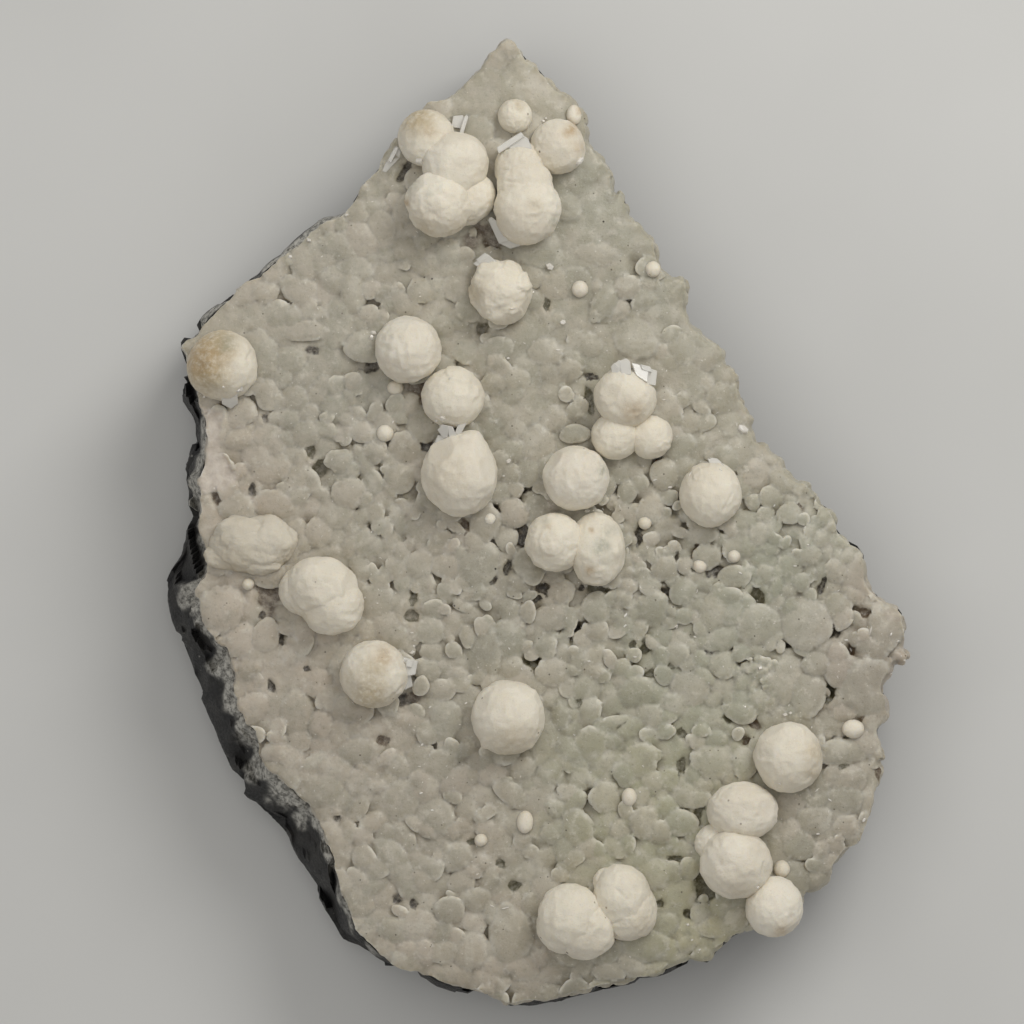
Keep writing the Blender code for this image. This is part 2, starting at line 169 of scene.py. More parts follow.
def step(x, a, b):
    t = np.clip((x - a) / (b - a), 0, 1)
    return t * t * (3 - 2 * t)


def resample(poly, pitch, closed=True):
    pts = np.array(poly, float)
    if closed:
        pts = np.vstack((pts, pts[:1]))
    seg = np.hypot(*np.diff(pts, axis=0).T)
    s = np.concatenate(([0], np.cumsum(seg)))
    n = max(3, int(round(s[-1] / pitch)))
    t = np.linspace(0, s[-1], n, endpoint=not closed)
    return np.column_stack((np.interp(t, s, pts[:, 0]), np.interp(t, s, pts[:, 1]))), t


def round_corners(pts, times=1, keep=0.5):
    for _ in range(times):
        pts = keep * pts + (1 - keep) / 2 * (np.roll(pts, 1, 0) + np.roll(pts, -1, 0))
    return pts


def inside_poly(p, poly):
    x, y = p[:, 0], p[:, 1]
    hit = np.zeros(len(p), bool)
    q = np.array(poly, float)
    for (x1, y1), (x2, y2) in zip(q, np.roll(q, -1, 0)):
        if y1 == y2:
            continue
        cross = (y1 > y) != (y2 > y)
        hit ^= cross & (x < (x2 - x1) * (y - y1) / (y2 - y1) + x1)
    return hit


def edge_distance(p, poly, closed=True):
    best = np.full(len(p), 1e18)
    q = np.array(poly, float)
    nxt = np.roll(q, -1, 0)
    count = len(q) if closed else len(q) - 1
    for k in range(count):
        a, e = q[k], nxt[k] - q[k]
        t = np.clip(((p - a) @ e) / max(e @ e, 1e-12), 0, 1)
        d = p - a - t[:, None] * e
        best = np.minimum(best, d[:, 0] ** 2 + d[:, 1] ** 2)
    return np.sqrt(best)


def ray_reach(poly, hub, angle, closed=True):
    q = np.array(poly, float)
    a, b = (q, np.roll(q, -1, 0)) if closed else (q[:-1], q[1:])
    e = b - a
    dx, dy = math.cos(angle), -math.sin(angle)
    den = dx * e[:, 1] - dy * e[:, 0]
    den = np.where(np.abs(den) < 1e-9, 1e-9, den)
    t = ((a[:, 0] - hub[0]) * e[:, 1] - (a[:, 1] - hub[1]) * e[:, 0]) / den
    s = ((a[:, 0] - hub[0]) * dy - (a[:, 1] - hub[1]) * dx) / den
    ok = (t > 0) & (s >= 0) & (s <= 1)
    return float(t[ok].max()) if ok.any() else 0.0


def level(p):
    """Smooth height of the face in metres at plan points p."""
    d = np.where(inside_poly(p, OUTLINE), edge_distance(p, OUTLINE), 0.0) * UNIT
    return FACE + FACE_CROWN * np.minimum(1, d / 0.025) - RIM_DROP * np.exp(-d / 0.0022)


# ------------------------------------------------------------- node materials
class Mat:
    """A node material, built up call by call."""

    def __init__(self, name):
        self.mat = bpy.data.materials.new(name)
        self.mat.use_nodes = True
        self.nt = self.mat.node_tree
        self.nt.nodes.clear()
        self.out = self.nt.nodes.new("ShaderNodeOutputMaterial")
        self.bsdf = self.nt.nodes.new("ShaderNodeBsdfPrincipled")
        self.nt.links.new(self.bsdf.outputs[0], self.out.inputs["Surface"])
        self.coord = self.nt.nodes.new("ShaderNodeTexCoord").outputs["Object"]

    def put(self, socket, value):
        if isinstance(value, bpy.types.NodeSocket):
            self.nt.links.new(value, socket)
        elif value is not None:
            if hasattr(socket.default_value, "__len__") and not hasattr(value, "__len__"):
                value = [value] * len(socket.default_value)
            if hasattr(value, "__len__") and len(value) == 3 and len(socket.default_value) == 4:
                value = (*value, 1.0)
            socket.default_value = value

    def set(self, **values):
        for key, value in values.items():
            self.put(self.bsdf.inputs[key.replace("_", " ")], value)

    def noise(self, scale, detail=3.0, rough=0.55, distort=0.0, vector=None, colour=False):
        n = self.nt.nodes.new("ShaderNodeTexNoise")
        self.put(n.inputs["Vector"], vector or self.coord)
        self.put(n.inputs["Scale"], scale)
        self.put(n.inputs["Detail"], detail)
        self.put(n.inputs["Roughness"], rough)
        self.put(n.inputs["Distortion"], distort)
        return n.outputs["Color" if colour else "Fac"]

    def cells(self, scale, feature='F1', out="Distance", rand=1.0, vector=None):
        n = self.nt.nodes.new("ShaderNodeTexVoronoi")
        n.feature = feature
        self.put(n.inputs["Vector"], vector or self.coord)
        self.put(n.inputs["Scale"], scale)
        self.put(n.inputs["Randomness"], rand)
        return n.outputs[out]

    def math(self, op, a, b=0.0, clamp=False):
        n = self.nt.nodes.new("ShaderNodeMath")
        n.operation = op
        n.use_clamp = clamp
        self.put(n.inputs[0], a)
        self.put(n.inputs[1], b)
        return n.outputs[0]

    def ramp(self, value, a, b, lo=0.0, hi=1.0, smooth=True):
        n = self.nt.nodes.new("ShaderNodeMapRange")
        n.interpolation_type = 'SMOOTHSTEP' if smooth else 'LINEAR'
        for k, x in zip(("Value", "From Min", "From Max", "To Min", "To Max"),
                        (value, a, b, lo, hi)):
            self.put(n.inputs[k], x)
        return n.outputs["Result"]

    def mix(self, fac, a, b, mode='MIX'):
        n = self.nt.nodes.new("ShaderNodeMix")
        n.data_type = 'RGBA'
        n.blend_type = mode
        n.clamp_factor = True
        self.put(n.inputs[0], fac)
        self.put(n.inputs[6], a)
        self.put(n.inputs[7], b)
        return n.outputs[2]

    def attr(self, name):
        n = self.nt.nodes.new("ShaderNodeAttribute")
        n.attribute_name = name
        return n

    def split(self, colour):
        n = self.nt.nodes.new("ShaderNodeSeparateColor")
        self.put(n.inputs[0], colour)
        return n.outputs[0], n.outputs[1], n.outputs[2]

    def shift(self, offset):
        n = self.nt.nodes.new("ShaderNodeVectorMath")
        n.operation = 'ADD'
        self.put(n.inputs[0], self.coord)
        self.put(n.inputs[1], offset)
        return n.outputs[0]

    def stretch(self, factors):
        n = self.nt.nodes.new("ShaderNodeMapping")
        self.put(n.inputs["Vector"], self.coord)
        self.put(n.inputs["Scale"], factors)
        return n.outputs[0]

    def bump(self, height, strength, distance, after=None):
        n = self.nt.nodes.new("ShaderNodeBump")
        self.put(n.inputs["Height"], height)
        self.put(n.inputs["Strength"], strength)
        self.put(n.inputs["Distance"], distance)
        if after is not None:
            self.nt.links.new(after, n.inputs["Normal"])
        return n.outputs["Normal"]

    def specks(self, scale, size, share, seed=(0, 0, 0)):
        """Mask of small round specks in a given share of the cells."""
        v = self.shift(seed)
        n = self.nt.nodes.new("ShaderNodeTexVoronoi")
        self.put(n.inputs["Vector"], v)
        self.put(n.inputs["Scale"], scale)
        r, g, b = self.split(n.outputs["Color"])
        dot = self.ramp(n.outputs["Distance"], size, size * 0.55)
        pick = self.math('LESS_THAN', r, share)
        return self.math('MULTIPLY', dot, pick)


def mesh_object(name, verts, faces, smooth=True):
    me = bpy.data.meshes.new(name)
    verts = np.asarray(verts, np.float32)
    tri = isinstance(faces, np.ndarray) and faces.shape[1] in (3, 4)
    if tri:
        k = faces.shape[1]
        me.vertices.add(len(verts))
        me.vertices.foreach_set("co", verts.ravel())
        me.loops.add(faces.size)
        me.loops.foreach_set("vertex_index", faces.ravel().astype(np.int32))
        me.polygons.add(len(faces))
        me.polygons.foreach_set("loop_start", np.arange(0, faces.size, k, dtype=np.int32))
        me.update(calc_edges=True)
    else:
        me.from_pydata(verts.tolist(), [], [list(map(int, f)) for f in faces])
        me.update()
    me.validate()
    if smooth:
        me.shade_smooth()
    obj = bpy.data.objects.new(name, me)
    bpy.context.scene.collection.objects.link(obj)
    return obj


def paint(obj, name, values):
    """Stores a colour for each vertex."""
    a = obj.data.color_attributes.new(name, 'FLOAT_COLOR', 'POINT')
    v = np.ones((len(obj.data.vertices), 4), np.float32)
    v[:, :values.shape[1]] = values
    a.data.foreach_set("color", v.ravel())


def finish_piece(obj, mat, nodes=()):
    obj.data.materials.clear()
    obj.data.materials.append(mat)
    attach(obj, "root")
    if nodes:
        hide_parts(*nodes)
    return obj


# ----------------------------------------------------------------- the crust
# Character of the lobes by area: u, v, radius, relief, flatness of the tops.
AREAS = [
    (510, 70, 25, 0.28, 2.49), (520, 180, 20, 0.45, 2.49), (620, 230, 19, 0.50, 2.63),
    (440, 270, 14, 0.85, 2.35), (300, 290, 17, 0.62, 2.63), (240, 330, 20, 0.45, 2.63),
    (560, 310, 14, 0.58, 2.91), (550, 390, 14, 0.55, 2.91), (300, 400, 14, 0.85, 2.35),
    (680, 340, 15, 0.55, 2.49), (700, 420, 14, 0.62, 2.35), (260, 470, 17, 0.68, 2.49),
    (360, 470, 14, 0.92, 2.35), (500, 500, 13, 1.00, 2.07), (400, 560, 14, 0.80, 2.49),
    (620, 570, 12, 0.85, 2.21), (560, 620, 11, 0.90, 2.21), (760, 520, 11, 0.95, 2.07),
    (800, 570, 12, 0.85, 2.14), (700, 600, 13, 1.05, 2.07), (850, 630, 12, 1.15, 2.00),
    (780, 650, 15, 1.00, 2.21), (860, 700, 15, 0.90, 2.21), (230, 620, 18, 0.60, 2.35),
    (300, 700, 17, 0.72, 2.35), (300, 760, 18, 0.60, 2.63), (420, 780, 15, 0.68, 2.49),
    (450, 680, 14, 0.72, 2.49), (600, 720, 13, 0.80, 2.21), (700, 740, 14, 0.80, 2.21),
    (650, 820, 15, 0.85, 2.21), (830, 800, 15, 0.60, 2.49), (820, 860, 14, 0.60, 2.49),
    (500, 860, 14, 0.72, 2.35), (420, 900, 15, 0.72, 2.35), (500, 960, 16, 0.72, 2.35),
    (640, 950, 15, 0.65, 2.35),
]
# Lobes that stand out: u, v, half width, half length, turn, top, fullness.
# top is how far the lobe stands over the mean face, in plan units.
NOTABLE = [
    # upper left
    (306, 331, 23, 11, 0, 4, .5), (364, 347, 19, 17, 20, 6, .6), (268, 394, 13, 17, 0, 3, .5),
    (353, 381, 10, 9, 0, 3.5, .7), (266, 292, 13, 12, 0, 3, .5), (310, 350, 10, 6, 0, -2, .4),
    (276, 268, 14, 16, 30, 2, .4), (370, 314, 11, 10, 0, 2, .5), (390, 304, 10, 9, 0, 2, .5),
    (422, 291, 15, 13, 0, 3, .5), (405, 250, 16, 14, 0, 2, .5), (355, 268, 20, 14, 0, 2, .4),
    (337, 388, 12, 13, 0, 2, .5), (240, 412, 17, 16, 0, 2, .4), (362, 432, 12, 12, 0, 3, .6),
    (385, 424, 13, 13, 0, 2, .5), (340, 461, 15, 13, 0, 4, .6), (349, 493, 18, 16, 10, 4.5, .6),
    (300, 480, 20, 16, 0, 1.5, .4), (270, 440, 20, 17, 0, 1.5, .4), (290, 420, 12, 12, 0, 2, .5),
    # left
    (216, 428, 15, 22, 0, 3.5, .3), (216, 470, 20, 16, -20, 3.5, .3), (222, 562, 18, 13, -20, 2.5, .5),
    (222, 608, 27, 24, 0, 4, .5), (266, 636, 14, 18, 0, 3.5, .6), (320, 532, 14, 17, 0, 2.5, .5),
    (275, 505, 26, 15, 0, 1.5, .4), (240, 640, 20, 18, 0, 2, .5),
    # middle
    (468, 309, 13, 14, 0, 5, .7), (425, 424, 20, 20, 0, 2.5, .6), (405, 450, 18, 18, 0, 3, .5),
    (400, 478, 17, 15, 0, 3.5, .5), (570, 370, 13, 12, 0, 3, .7), (575, 434, 15, 10, 0, 5.5, .7),
    (536, 505, 16, 15, 0, 1, .8), (529, 471, 13, 17, 0, 1.5, .7), (513, 513, 17, 15, 0, 4.5, .8),
    (500, 492, 17, 13, 0, 2, .6), (620, 475, 14, 10, 0, 2, .6), (512, 450, 17, 12, 0, 1, .5),
    (590, 345, 14, 13, 0, 1.5, .5), (545, 352, 18, 14, 20, 2, .4), (497, 350, 19, 13, 0, 2, .4),
    (628, 287, 15, 12, 0, 3, .6), (558, 285, 17, 18, 0, 2, .4), (648, 266, 12, 11, 0, 3, .6),
    # centre
    (478, 568, 22, 26, 20, 3.5, .45), (447, 566, 17, 14, 0, 2, .4), (420, 564, 16, 14, 0, 3, .5),
    (528, 563, 16, 16, 0, 5.5, .75), (533, 573, 11, 13, 0, 6.5, .8), (528, 612, 9, 11, 0, 5, .7),
    (561, 592, 15, 12, 0, 3, .75), (550, 618, 20, 14, 0, 2.5, .6), (597, 608, 16, 16, 0, 5, .7),
    (597, 630, 13, 11, 0, 4, .7), (546, 647, 12, 12, 0, 5, .6), (510, 640, 20, 22, 0, 3, .5),
    (482, 652, 22, 28, 0, 2, .4), (555, 672, 19, 17, 0, 3, .5), (508, 665, 16, 16, 0, 1.5, .4),
    (484, 525, 16, 20, 20, 4, .5), (590, 710, 13, 13, 0, 3, .6), (634, 655, 8, 8, 0, 3.5, .7),
    (421, 686, 8, 11, 10, 8.0, .8), (440, 690, 18, 11, 0, 2.5, .5), (445, 720, 17, 24, 0, 2, .5), (400, 640, 14, 14, 0, 2, .5),
    # right
    (683, 591, 14, 14, 0, 6, .85), (727, 597, 15, 11, 0, 5.5, .8), (685, 565, 9, 9, 0, 3.5, .8),
    (707, 557, 14, 14, 0, 4.5, .75), (702, 534, 15, 11, 0, 4.5, .75), (665, 474, 16, 15, 0, 4, .7),
    (683, 466, 12, 12, 0, 2.5, .6), (651, 509, 14, 16, 0, 4, .7), (665, 569, 14, 14, 0, 3.5, .7),
    (771, 497, 12, 12, 0, 3.5, .75), (790, 513, 13, 12, 0, 4, .7), (766, 515, 9, 10, 0, 3, .7),
    (753, 502, 8, 9, 0, 3.5, .8), (806, 488, 13, 10, 0, 3.5, .7), (745, 520, 16, 12, 0, 2, .5),
    (733, 577, 17, 12, 0, 3, .6), (790, 566, 14, 14, 0, 2.5, .5), (810, 555, 12, 11, 0, 2.5, .6),
    (716, 612, 21, 22, 0, 4, .6), (732, 607, 13, 20, 0, 5, .7), (760, 625, 24, 22, 0, 5, .5),
    (806, 622, 29, 26, 0, 6.5, .55), (838, 605, 14, 14, 0, 4, .7), (842, 617, 11, 14, 0, 5, .8),
    (838, 571, 14, 12, 0, 3, .6), (852, 556, 13, 11, 0, 3, .6), (722, 640, 20, 13, -20, 4, .6),
    (723, 664, 15, 14, 0, 4.5, .7), (676, 655, 13, 13, 0, 4, .6), (816, 663, 15, 13, 0, 5, .75),
    (808, 693, 20, 23, 0, 6, .6), (838, 655, 12, 12, 0, 5.5, .8), (843, 672, 20, 16, -15, 7, .65),
    (868, 690, 30, 36, 0, 7.5, .5), (872, 650, 18, 15, 0, 6, .75), (886, 628, 20, 22, 0, 6, .65),
    (894, 617, 14, 14, 0, 5, .85), (903, 657, 11, 10, 0, 2.5, .95), (883, 668, 14, 13, 0, 4.5, .8),
    (884, 712, 11, 16, 0, 3, .85), (874, 720, 13, 15, 0, 4, .7), (740, 712, 17, 12, 15, 5, .65),
    (845, 712, 14, 10, 0, 3.5, .7), (760, 745, 12, 14, 0, 2, .6), (784, 676, 24, 26, 0, 3, .4),
    (690, 690, 22, 22, 0, 2, .4), (715, 760, 26, 18, 0, 4, .5), (745, 762, 14, 16, 0, 4.5, .6),
    # lower middle
    (645, 823, 17, 17, -20, 5.5, .5), (681, 823, 18, 14, 15, 5, .5), (660, 832, 12, 12, 0, 5.5, .75),
    (690, 868, 11, 11, 0, 4, .7), (577, 828, 17, 20, 0, 4.5, .5), (605, 797, 17, 16, 0, 3.5, .5),
    (640, 760, 20, 18, 0, 3, .4), (690, 795, 20, 14, 20, 3.5, .5), (705, 857, 14, 16, 0, 3, .5),
    (713, 927, 15, 12, 0, 3.5, .6), (737, 919, 13, 12, 0, 3.5, .6), (646, 946, 26, 18, -10, 4.5, .5),
    (609, 970, 18, 12, 0, 3, .6), (664, 925, 14, 14, 0, 3, .6),
    (449, 911, 15, 16, 0, 4.5, .55), (510, 935, 23, 32, -10, 4.5, .45), (418, 925, 20, 18, 0, 3, .5),
    (470, 950, 20, 20, 0, 2.5, .45), (395, 930, 17, 16, 0, 3, .5), (478, 900, 16, 14, 0, 2.5, .5),
    (360, 900, 18, 18, 0, 3, .5), (845, 800, 20, 18, 0, 2.5, .45), (815, 820, 20, 16, 0, 2.5, .45),
    (845, 752, 24, 15, 0, 3, .45), (850, 780, 18, 16, 0, 2.5, .5), (800, 845, 18, 16, 0, 2, .45),
]
# Hollows and dirt-filled crevices: u, v, half width, half length, turn, depth,
# dirt (0 none, 1 olive, 2 brown, 3 orange-brown).
HOLLOWS = [
    (218, 499, 4, 9, 20, 4, 3), (253, 489, 4, 6, 0, 4, 2), (267, 418, 5, 3, -30, 3, 2),
    (311, 450, 6, 10, 25, 5, 1), (320, 468, 8, 9, 0, 6, 1), (279, 640, 4, 6, 30, 3, 2),
    (271, 686, 4, 8, 25, 4, 2), (307, 670, 4, 3, 0, 3, 2), (384, 740, 6, 5, 0, 4, 3),
    (270, 750, 4, 3, 0, 2, 2), (338, 818, 4, 4, 0, 2, 2), (305, 535, 8, 17, 0, 5, 0),
    (270, 594, 14, 20, 0, 6, 3), (263, 615, 4, 3, 0, 4, 2), (483, 329, 5, 6, 0, 5, 1),
    (547, 303, 4, 8, 10, 3, 1), (537, 350, 4, 5, 0, 3, 1), (592, 376, 7, 3, -20, 3, 2),
    (508, 400, 4, 3, 0, 2, 1), (630, 301, 6, 2, -15, 4, 2), (590, 401, 5, 15, 10, 3, 1),
    (425, 443, 7, 18, 15, 5, 2), (413, 596, 4, 12, 0, 5, 1), (412, 616, 7, 7, 0, 6, 1),
    (493, 580, 5, 3, 20, 3, 2), (543, 589, 8, 5, 0, 6, 2), (538, 599, 3, 4, 0, 5, 2),
    (508, 566, 3, 8, -25, 5, 2), (533, 662, 8, 9, 20, 5, 1), (580, 705, 3, 8, 20, 4, 1),
    (618, 722, 9, 7, 0, 2, 1), (576, 627, 4, 6, 0, 4, 2), (632, 645, 4, 4, 0, 4, 1),
    (640, 530, 3, 16, -8, 5, 2), (650, 675, 8, 4, 20, 3, 1), (521, 535, 7, 11, 0, 6, 2),
    (496, 510, 3, 7, 30, 5, 2), (466, 527, 4, 9, 0, 5, 3), (695, 550, 4, 8, -25, 5, 3),
    (716, 573, 10, 6, 0, 6, 2), (665, 592, 7, 5, 30, 5, 2), (657, 463, 4, 8, -40, 4, 2),
    (758, 598, 7, 10, 0, 6, 1), (798, 508, 5, 3, 0, 3, 3), (823, 585, 4, 9, -20, 4, 2),
    (864, 612, 8, 5, -10, 5, 3), (833, 632, 8, 6, 30, 6, 2), (852, 651, 4, 9, -15, 6, 3),
    (833, 690, 7, 16, -20, 6, 1), (862, 719, 4, 6, 0, 4, 3), (755, 723, 5, 8, 20, 6, 3),
    (746, 741, 4, 4, 0, 5, 3), (713, 650, 9, 3, 0, 5, 2), (671, 666, 4, 7, -30, 4, 1),
    (728, 718, 5, 4, 0, 4, 1), (846, 767, 6, 4, 0, 3, 1), (880, 776, 5, 9, 0, 3, 3),
    (857, 797, 4, 5, 0, 3, 2), (414, 904, 4, 4, 0, 3, 2), (396, 899, 4, 4, 0, 3, 2),
    (500, 863, 5, 4, 0, 3, 1), (515, 885, 6, 5, 0, 4, 1), (660, 904, 5, 4, 0, 4, 1),
    (688, 915, 5, 4, 0, 3, 1), (704, 888, 10, 16, 0, 7, 1), (697, 818, 5, 15, -10, 5, 1),
    (675, 858, 8, 4, 0, 4, 1), (471, 841, 6, 4, 0, 3, 1), (485, 236, 20, 14, 0, 6, 3),
    (420, 390, 14, 14, 0, 5, 3), (312, 351, 7, 4, 0, 4, 2), (372, 366, 12, 6, 30, 5, 2),
    (226, 402, 8, 4, 20, 3, 3), (540, 458, 8, 12, 0, 3, 0), (524, 491, 12, 3, 20, 4, 2),
    (680, 770, 4, 12, -10, 4, 1), (682, 733, 4, 4, 0, 3, 1), (700, 805, 6, 6, 0, 5, 1),
    (790, 645, 22, 3, 0, 5, 2), (600, 588, 12, 6, 0, 5, 1), (582, 588, 3, 3, 0, 3, 2),
    (645, 645, 4, 10, -25, 3, 1), (700, 500, 4, 4, 0, 2, 0), (440, 455, 10, 9, 0, 4, 3),
    (414, 696, 6, 5, 20, 2, 3), (435, 620, 12, 12, 0, 3, 0), (405, 172, 5, 12, -30, 5, 2), (404, 700, 10, 5, 0, 3, 2),
]
# A patch of fine beads: u, v, half width, half length, turn, top, dome.
_r = random.Random(5)
DRUSE = []
for _k in range(64):
    _a, _q = _r.uniform(0, 6.283), math.sqrt(_r.random())
    _s = _r.uniform(2.3, 4.6)
    DRUSE.append((764 + 17 * _q * math.cos(_a), 682 + 25 * _q * math.sin(_a), _s * 1.1, _s,
                  _r.uniform(0, 3), 3.5 + _r.uniform(0, 2.5) + 2.0 * (1 - _q), _s * 0.8))
for _k in range(13):
    DRUSE.append((750 + _r.uniform(-1.5, 1.5) + 0.012 * (_k - 6) ** 2, 659 + 3.6 * _k, _r.uniform(2.2, 3.2), _r.uniform(2.2, 3.2),
                  0.0, _r.uniform(3.0, 4.5), 2.4))
# Flat patch of broken crust beside the left rim.
BARE = [(196, 404), (213, 408), (225, 413), (222, 430), (219, 440), (222, 450), (231, 464),
        (238, 478), (226, 493), (206, 494), (190, 482), (196, 455), (198, 440)]
# Broad tints of the crust: u, v, reach, colour.
PREHNITE = (0.418, 0.386, 0.304)
TINTS = [
    (230, 470, 75, (0.515, 0.434, 0.345)), (220, 590, 60, (0.505, 0.424, 0.340)),
    (290, 720, 90, (0.474, 0.400, 0.322)), (400, 860, 110, (0.443, 0.385, 0.304)),
    (500, 970, 80, (0.453, 0.395, 0.313)), (800, 585, 60, (0.360, 0.375, 0.285)),
    (700, 690, 60, (0.381, 0.385, 0.285)), (870, 660, 55, (0.448, 0.366, 0.313)),
    (850, 600, 40, (0.453, 0.370, 0.299)), (650, 800, 85, (0.397, 0.390, 0.248)),
    (690, 930, 45, (0.484, 0.449, 0.267)), (689, 922, 20, (0.680, 0.640, 0.420)), (510, 90, 60, (0.453, 0.414, 0.322)),
    (610, 200, 40, (0.381, 0.370, 0.294)), (300, 290, 80, (0.448, 0.405, 0.327)),
    (330, 400, 70, (0.381, 0.366, 0.299)), (560, 350, 90, (0.417, 0.385, 0.299)),
    (840, 820, 60, (0.422, 0.375, 0.304)), (440, 470, 60, (0.381, 0.341, 0.267)),
    (510, 560, 60, (0.402, 0.356, 0.285)),
]


def character(p):
    a = np.array(AREAS, float)
    d2 = ((p[:, None, :] - a[None, :, :2]) ** 2).sum(-1)
    w = np.exp(-d2 / (2 * 48.0 ** 2)) + 1e-9
    w /= w.sum(1, keepdims=True)
    return w @ a[:, 2], w @ a[:, 3], w @ a[:, 4]


def lay_lobes():
    """Lobes of the crust: crisp ones with an edge of their own, which overlap
    like scales, and soft ones below them, which run together."""
    rng = np.random.default_rng(20)
    crisp, soft = [], []
    cen, rad, laid = np.empty((4000, 2)), np.empty(4000), 0

    def add(u, v, a, b, turn, top, dome, tilt, notch=1.0):
        r = math.sqrt(a * b)
        crisp.append((u, v, a, b, turn, top, dome, rng.uniform(2.0, 2.6),
                      rng.normal(0, tilt), rng.normal(0, tilt), rng.random(),
                      max(3, round(r / rng.uniform(2.3, 4.2))),
                      notch * rng.uniform(0.02, 0.10) * min(1, r / 10.0),
                      rng.uniform(0, math.pi)))

    for u, v, a, b, turn, top, full in NOTABLE:
        dome = min(a, b) * (0.24 + 0.34 * full)
        add(u, v, a * 1.06, b * 1.06, math.radians(turn), top + 0.25 * dome, dome, 0.08)
        cen[laid], rad[laid] = (u, v), 0.5 * (a + b)
        laid += 1
    for u, v, a, b, turn, top, full in DRUSE:
        add(u, v, a, b, turn, top, full, 0.03, 0.3)
    tries = rng.uniform((170, 28), (920, 1015), (30000, 2))
    tries = tries[inside_poly(tries, OUTLINE)]
    pits = np.array([(h[0], h[1]) for h in HOLLOWS if h[5] >= 3 and h[6] > 0], float)
    pit_near = np.sqrt(((tries[:, None, :] - pits[None]) ** 2).sum(-1)).min(1)
    size, relief, flat = character(tries)
    size = size * (1.02 - 0.27 * step(relief, 0.50, 1.0))
    for k, p in enumerate(tries):
        r = size[k] * math.exp(rng.normal(-0.05, 0.30))
        d = cen[:laid] - p
        if (d[:, 0] ** 2 + d[:, 1] ** 2 < (0.60 * (rad[:laid] + r)) ** 2).any():
            continue
        cen[laid], rad[laid] = p, r
        laid += 1
        asp = math.exp(rng.normal(0, 0.16))
        grow = 1.22
        turn = rng.uniform(0, math.pi)
        edge = (0.45 + 0.75 * relief[k])
        if pit_near[k] > r * 1.15 and rng.random() < 0.12 + 0.85 * relief[k] ** 1.5:
            dome = r * rng.uniform(.36, .62) * (.60 + .40 * relief[k])
            add(p[0], p[1], r * grow * asp, r * grow / asp, turn,
                rng.normal(1.5, 0.95) * edge + 0.25 * dome, dome, 0.09 * edge)
        else:
            soft.append((p[0], p[1], r * 1.25 * asp, r * 1.25 / asp, turn,
                         rng.normal(0.6, 0.8) * edge, r * 0.30 * edge, 0,
                         0, 0, rng.random()))
    # small ones sit in the gaps
    for _ in range(420):
        p = tries[rng.integers(len(tries))]
        k = int(np.hypot(*(tries - p).T).argmin())
        if rng.random() > relief[k] or pit_near[k] < 9:
            continue
        r = rng.uniform(3.6, 7.0)
        add(p[0], p[1], r * rng.uniform(.9, 1.2), r, rng.uniform(0, math.pi),
            rng.normal(0.5, 1.0), r * rng.uniform(.4, .7), 0.05)
    count = 0
    for k in range(len(tries) - 1, 0, -1):
        if count > 1100:
            break
        r = size[k] * math.exp(rng.normal(0.0, 0.25))
        soft.append((tries[k, 0], tries[k, 1], r * 1.15, r, rng.uniform(0, math.pi),
                     rng.normal(-1.5, 0.9) * (0.4 + relief[k]), r * 0.30, 0, 0, 0, rng.random()))
        count += 1
    return np.array(crisp), np.array(soft)


class Field:
    """Points sorted into cells, so that each lobe visits only those near it."""

    def __init__(self, pts, cell=16.0):
        self.lo = pts.min(0) - 1
        self.cell = cell
        self.nx = int((pts[:, 0].max() + 2 - self.lo[0]) / cell) + 1
        self.ny = int((pts[:, 1].max() + 2 - self.lo[1]) / cell) + 1
        ix = ((pts - self.lo) / cell).astype(int)
        key = ix[:, 1] * self.nx + ix[:, 0]
        self.order = np.argsort(key, kind='stable')
        self.back = np.empty(len(pts), int)
        self.back[self.order] = np.arange(len(pts))
        self.p = pts[self.order]
        self.start = np.searchsorted(key[self.order], np.arange(self.nx * self.ny + 1))

    def spans(self, c, reach):
        i0 = max(0, int((c[0] - reach - self.lo[0]) / self.cell))
        i1 = min(self.nx - 1, int((c[0] + reach - self.lo[0]) / self.cell))
        j0 = max(0, int((c[1] - reach - self.lo[1]) / self.cell))
        j1 = min(self.ny - 1, int((c[1] + reach - self.lo[1]) / self.cell))
        if i1 < i0:
            return
        for j in range(j0, j1 + 1):
            a, b = self.start[j * self.nx + i0], self.start[j * self.nx + i1 + 1]
            if b > a:
                yield a, b


def edge_reach(C, th):
    """How far a crisp lobe's scalloped edge reaches at angle th."""
    n, s, ph = C[..., 11], C[..., 12], C[..., 13]
    r = 1 + 0.055 * np.cos(2 * th + ph * 3) + 0.045 * np.cos(3 * th - ph * 5)
    r = r - s * (1 - np.abs(np.cos(0.5 * n * th + ph + 0.7 * np.sin(th + ph * 2))))
    return r - 0.40 * s * (1 - np.abs(np.cos((n + 1) * th + ph * 7)))


def crisp_height(x, y, C):
    """Height of crisp lobes C (rows) at x, y, and how far out on the lobe that is."""
    c, s = np.cos(C[..., 4]), np.sin(C[..., 4])
    dx, dy = x - C[..., 0], y - C[..., 1]
    a = (dx * c + dy * s) / C[..., 2]
    b = (dy * c - dx * s) / C[..., 3]
    t = np.sqrt(a * a + b * b) / edge_reach(C, np.arctan2(b, a))
    cap = np.sqrt(np.clip(1 - t ** C[..., 7], 0, 1))
    f = C[..., 5] - C[..., 6] + C[..., 6] * cap + dx * C[..., 8] + dy * C[..., 9]
    return np.where(t < 1, f, -60.0), t


